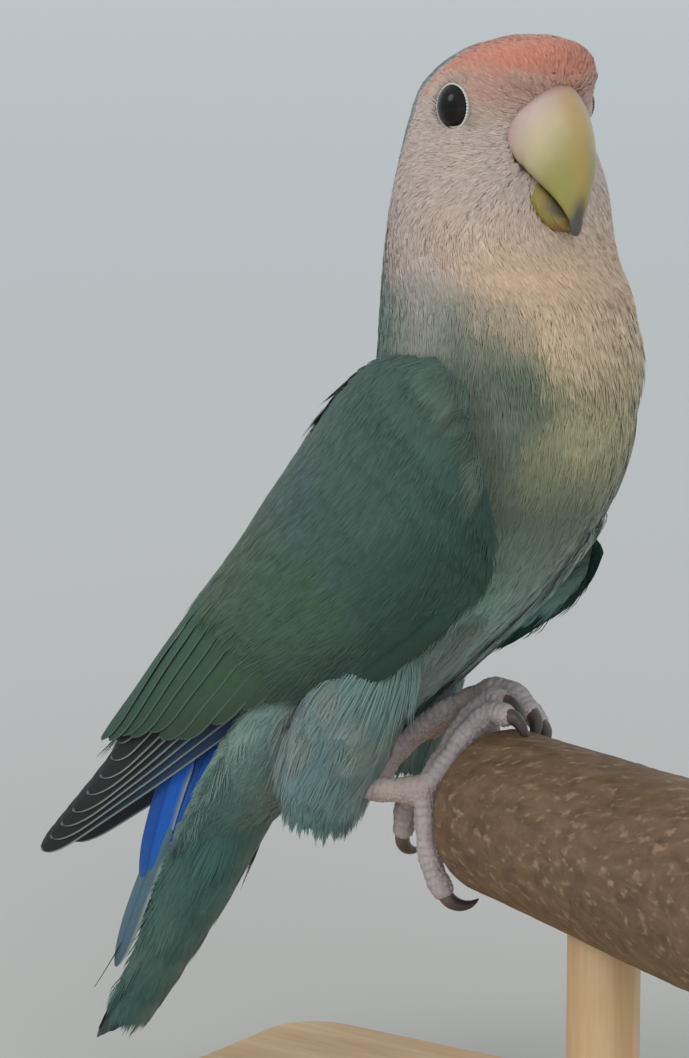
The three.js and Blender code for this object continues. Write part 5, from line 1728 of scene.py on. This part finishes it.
# Stand: a turned rod on a slab with eased edges
BASE_SIZE, BASE_CORNER, BASE_BEVEL, BASE_HEIGHT = (104, 76), 9, 1.2, 8
ROD_RADIUS, ROD_ALONG = 4.6, 25


def stand_base_piece():
    turn = np.linspace(0, np.pi / 2, 9)
    bevel = [(BASE_BEVEL * (1 - math.sin(v)), BASE_BEVEL * (1 - math.cos(v))) for v in turn]
    profile = [(w, 0) for w in (30, 20, 10, 4)] + bevel
    profile += [(0, z) for z in (2.5, 4, 5.5)]
    profile += [(w, BASE_HEIGHT - z) for w, z in bevel[::-1]] + [(w, BASE_HEIGHT) for w in (4, 10, 20, 30)]
    corner = np.linspace(0, np.pi / 2, 14)
    rings = []
    for inset, z in profile:
        c = max(BASE_CORNER - inset, 0.5)
        w, d = BASE_SIZE[0] / 2 - inset - c, BASE_SIZE[1] / 2 - inset - c
        ring = []
        for k, (sx, sy) in enumerate(((1, -1), (1, 1), (-1, 1), (-1, -1))):
            start = -np.pi / 2 + k * np.pi / 2
            ring += [(sx * w + c * math.cos(start + v), sy * d + c * math.sin(start + v), z) for v in corner]
        rings.append(ring)
    points, faces = closed_rings(np.array(rings), (0, 0, 0), (0, 0, BASE_HEIGHT))
    make("stand_base_wood", points, faces, STAND_WOOD, "stand_wood", replaces=("stand_base",))


def stand_rod_piece():
    x, y, z = on_perch(ROD_ALONG, 0, 0)
    top = z - PERCH_RADII[0] + 2.2
    heights = [BASE_HEIGHT - 1, BASE_HEIGHT, BASE_HEIGHT + 0.2, *np.linspace(9, top, 40)]
    a = once_round(96)
    rings = np.array([[(x + ROD_RADIUS * math.cos(v), y + ROD_RADIUS * math.sin(v), h) for v in a]
                      for h in heights])
    points, faces = closed_rings(rings, (x, y, heights[0]), (x, y, heights[-1]))
    make("stand_rod_wood", points, faces, ROD_WOOD, "stand_wood", replaces=("stand_rod",))


stand_base_piece()
stand_rod_piece()


# Feet: bare shins and scaly toes round the perch
FEET = {
    "right": {
        "ankle": (-12.5, -12, 58.4), "palm": (-3.6, 8.8, 2.6),
        "toes": {
            "outer_front": [(-2.8, 6, 5.8), (-2.1, 3.4, 9.7), (0.8, 1.8, 13), (3.8, 1.2, 13.2)],
            "inner_front": [(-4.8, 4.8, 6.6), (-4.8, 2, 10.6), (-2.8, -0.4, 13.8), (-0.4, -1, 14)],
            "outer_back": [(-2.9, 8.8, -1), (-2.8, 8.6, -5), (-2.2, 8.2, -8), (-1, 7.6, -10.2)],
            "inner_back": [(-6.8, 7.8, 2.2), (-9.6, 7.8, -0.4), (-10.4, 8, -4.2)],
        },
    },
    "left": {
        "ankle": (-13.2, 9.5, 60.2), "palm": (-11, -3, 12),
        "toes": {
            "outer_front": [(-8.6, -6.2, 12.2), (-6, -8, 11.6), (-3, -8.4, 10)],
            "inner_front": [(-7.4, -4.2, 14), (-3.8, -5, 14), (-0.4, -5.2, 12.4)],
            "outer_back": [(-11, -5.4, 8.2), (-10.8, -6.4, 3.6), (-9.6, -6.6, -0.6)],
            "inner_back": [(-14.2, 0.4, 9.6), (-18.4, 3.6, 5), (-20.2, 5, 1.6)],
        },
    },
}
TOE_RADII, CLAW_RADIUS, CLAW_HOOK, CLAW_CURL = (1.85, 1.5), 1.05, 2.7, 1.95
CLAW_NARROW = 0.86  # a claw's width as a share of its height
FOOT_SKIN = horn_material("foot_skin", 0.62, 1500, 0.0002, Specular_IOR_Level=0.35, Subsurface_Weight=0.06,
                          Subsurface_Scale=0.0006)


def foot_paths(name):
    foot = FEET[name]
    ankle, palm = np.array(foot["ankle"]), on_perch(*foot["palm"])
    paths = {"shin": (np.array([ankle, (ankle + palm) / 2, palm]), np.array([2, 1.6, 2.1]))}
    for toe, places in foot["toes"].items():
        path = np.array([palm] + [on_perch(*q) for q in places])
        paths[toe] = path, np.linspace(*TOE_RADII, len(path))
    return paths


def limb_rings(path, radii, rings, around, end=0.9):
    """Points round a path with rounded ends."""
    t = np.linspace(0, 1, rings)
    centre = along(path, t)
    ahead = unit(np.gradient(centre, axis=0))
    side = unit(np.cross(ahead, np.cross(ahead, [0.3, 0.2, 0.9])))
    other = np.cross(ahead, side)
    r = along(radii, t)
    a = once_round(around)
    out = [circles(centre, r, side, other, around)]
    for turn in (0.35, 0.7, 1.05, 1.35):
        c, s = math.cos(turn), math.sin(turn)
        out.append(((centre[-1] + ahead[-1] * r[-1] * end * s)[None, None]
                    + r[-1] * c * (side[-1] * np.cos(a)[:, None] + other[-1] * np.sin(a)[:, None])[None]))
    rings = np.concatenate(out)
    return closed_rings(rings, centre[0] - ahead[0] * 0.4, centre[-1] + ahead[-1] * r[-1] * end)


def remeshed(name, parts, voxel):
    """Several closed surfaces joined into one by voxels: its points, its normals and its quads."""
    verts, faces, start = [], [], 0
    for points, tris in parts:
        verts.append(points)
        faces += (tris + start).tolist()
        start += len(points)
    done, places = voxel_joined(name, verts, faces, voxel)
    normals = np.empty(len(done.vertices) * 3)
    done.vertex_normals.foreach_get("vector", normals)
    quads = np.array([tuple(poly.vertices) for poly in done.polygons if len(poly.vertices) == 4])
    bpy.data.meshes.remove(done)
    return places, normals.reshape(-1, 3), quads


FOOT_VOXEL = 0.2
CELL_JITTER = np.random.default_rng(5).random((16, 16, 16, 3))


def cells(p, size):
    """Domed grains of the given size: 1 at a grain's middle, 0 or less at its rim."""
    q = np.asarray(p, float) / size + 64
    i = np.floor(q).astype(int)
    first = np.full(q.shape[:-1], 9.0)
    second = np.full(q.shape[:-1], 9.0)
    for dx in (-1, 0, 1):
        for dy in (-1, 0, 1):
            for dz in (-1, 0, 1):
                c = i + [dx, dy, dz]
                seed_at = c + 0.15 + 0.7 * CELL_JITTER[c[..., 0] % 16, c[..., 1] % 16, c[..., 2] % 16]
                d = np.linalg.norm(q - seed_at, axis=-1)
                second = np.minimum(second, np.maximum(first, d))
                first = np.minimum(first, d)
    return np.clip(2.2 * (second - first), 0, 1)


def foot_piece(name):
    paths = foot_paths(name)
    parts = [limb_rings(path, radii, 14 * len(path), 28) for path, radii in paths.values()]
    points, normals, quads = remeshed(f"foot_{name}_raw", parts, FOOT_VOXEL)
    grains, small = cells(points, 0.95), cells(points + 7, 0.6)
    best = np.full(len(points), 1e9)
    height = np.zeros(len(points))
    crease = np.zeros(len(points))
    shin = np.zeros(len(points))
    for k, (toe, (path, radii)) in enumerate(paths.items()):
        t = np.linspace(0, 1, 160)
        line = along(path, t)
        arc = arc_length(line)
        gap = np.linalg.norm(points[:, None] - line[None], axis=-1)
        near = gap.argmin(1)
        dist = gap.min(1) - along(radii, t[near])
        # The upper side of a toe faces away from the perch's middle
        on = (points - PERCH_REAR) @ PERCH_WAY
        away = unit(points - (PERCH_REAR + on[:, None] * PERCH_WAY))
        if toe == "shin":
            away = np.broadcast_to([-0.6, -0.2, 0.5], points.shape)
        around = unit(points - line[near])
        top = dot(around, away)
        wave = arc[near] / 1.05 + 0.15 * noise(points, 1.6, k) + 0.12 * top
        band = np.abs(np.sin(np.pi * wave))
        plates = 0.55 * band**0.6 + 0.45 * grains**0.6
        scale = mix(small**0.6, plates, smooth(top, -0.1, 0.45))
        knuckle = np.cos(2 * np.pi * arc[near] / 4.2)
        h = 0.2 * (scale - 0.7) + 0.09 * knuckle + 0.06 * noise(points, 1.8, k)
        closer = dist < best
        best[closer] = dist[closer]
        height[closer] = h[closer]
        crease[closer] = (1 - scale)[closer]
        shin[closer] = float(toe == "shin")
    out = points + normals * (height - 0.05)[:, None]
    # Darker and browner in the creases between scales: partly the skin's own tone, partly painted shade
    colour = mix(C["foot"], C["foot_crease_shade"], np.clip(0.15 + 0.85 * crease**1.6, 0, 1) * 0.75)
    colour = mix(colour, C["shin"], 0.4 * shin)
    colour = colour * (1 + 0.1 * noise(points, 2.5, 4) + 0.06 * noise(points, 0.8, 6))[:, None]
    make(f"foot_{name}_skin", out, quads, FOOT_SKIN, "foot_skin", colour, replaces=(f"foot_{name}",))


def claws_piece(name):
    parts = []
    for toe, places in FEET[name]["toes"].items():
        before, last = on_perch(*places[-2]), on_perch(*places[-1])
        ahead = unit(last - before)
        inward = on_perch(places[-1][0], 0, 0) - last
        inward = unit(inward - ahead * (inward @ ahead))
        root = last + ahead * TOE_RADII[1] * 0.35
        turn = np.linspace(-0.25, 1, 40) * CLAW_CURL
        hook = np.where(turn[:, None] > 0, np.sin(turn)[:, None] * ahead, turn[:, None] * ahead)
        curl = np.where(turn > 0, 1 - np.cos(turn), 0)[:, None] * inward
        centre = root + CLAW_HOOK * hook + CLAW_HOOK * curl
        t = np.clip(turn / CLAW_CURL, 0, 1)
        r = CLAW_RADIUS * np.interp(t, [0, 0.25, 0.5, 0.75, 0.92, 1], [1, 0.96, 0.78, 0.5, 0.24, 0.07])
        way = unit(np.gradient(centre, axis=0))
        side = np.broadcast_to(unit(np.cross(ahead, inward)), way.shape)
        up = np.cross(side, way)
        points, faces = closed_rings(circles(centre, r, CLAW_NARROW * side, up, 28), centre[0], centre[-1])
        tone = smooth(t, 0.0, 0.45)[:, None] + 0.15 * np.sin(once_round(28))[None]
        colour = mix(C["claw_root"], C["claw"], np.clip(tone, 0, 1)).reshape(-1, 3)
        colour = np.concatenate([colour, colour[:1], colour[-1:]])
        parts.append((points, faces, colour))
    points, faces, colour = merge(parts)
    make(f"claws_{name}_horn", points, faces, CLAW_HORN, "claw_horn", colour,
         replaces=[f"claw_{name}_{toe}" for toe in FEET[name]["toes"]])


for name in FEET:
    foot_piece(name)
    claws_piece(name)


# Soft studio light, a plain pale floor and a pale surround
def area_light(name, place, aim, size, power, colour):
    data = bpy.data.lights.new(name, "AREA")
    data.shape = "DISK"
    data.size = size
    data.energy = power
    data.color = colour
    lamp = linked(name, data)
    lamp.location = place
    lamp.rotation_euler = (Vector(place) - Vector(aim)).to_track_quat("Z", "Y").to_euler()
    return lamp


FLOOR_RADIUS = 1500.0  # metres, so that no edge of it shows


def studio():
    world = bpy.data.worlds.new("surround")
    world.use_nodes = True
    nodes, links = world.node_tree.nodes, world.node_tree.links
    where = nodes.new("ShaderNodeTexCoord")
    split = nodes.new("ShaderNodeSeparateXYZ")
    climb = node(nodes, "MapRange", From_Min=0.0, From_Max=0.25)
    climb.interpolation_type = "SMOOTHSTEP"
    links.new(where.outputs["Generated"], split.inputs["Vector"])
    links.new(split.outputs["Z"], climb.inputs["Value"])
    sky = colour_between(nodes, links, climb.outputs["Result"], (0.52, 0.55, 0.565), (0.6, 0.625, 0.64))
    links.new(sky, nodes["Background"].inputs["Color"])
    bpy.context.scene.world = world
    bpy.context.scene.view_settings.view_transform = "Standard"
    area_light("key", (-0.35, -0.9, 0.85), (0, 0, 0.09), 0.6, 3.4, (1.0, 0.97, 0.93))
    fill = area_light("fill", (0.86, -0.8, 0.42), (0, 0, 0.09), 0.6, 4.0, (0.95, 0.98, 1.0))
    fill.visible_glossy = False
    mesh = bpy.data.meshes.new("floor")
    turns = once_round(96)
    mesh.from_pydata([(FLOOR_RADIUS * math.cos(v), FLOOR_RADIUS * math.sin(v), 0) for v in turns], [],
                     [tuple(range(len(turns)))])
    material, nodes, links, shader = node_tree("floor_paper", 0.9)
    # Painted light and shade: the paper is drawn darker near the stand and paler with distance from it
    place = nodes.new("ShaderNodeNewGeometry")
    length = nodes.new("ShaderNodeVectorMath")
    length.operation = "LENGTH"
    more = nodes.new("ShaderNodeMath")
    more.inputs[1].default_value = 0.5
    share = nodes.new("ShaderNodeMath")
    share.operation = "DIVIDE"
    links.new(place.outputs["Position"], length.inputs[0])
    links.new(length.outputs["Value"], more.inputs[0])
    links.new(length.outputs["Value"], share.inputs[0])
    links.new(more.outputs["Value"], share.inputs[1])
    tone = colour_between(nodes, links, share.outputs["Value"], (0.5, 0.49, 0.455), (0.84, 0.875, 0.9))
    links.new(tone, shader.inputs["Base Color"])
    mesh.materials.append(material)
    floor = linked("floor", mesh)
    floor.location = (0, 0, -0.0002)


studio()

for name, count in PIECES:
    print("piece", name, count)
print("total", sum(c for _, c in PIECES))
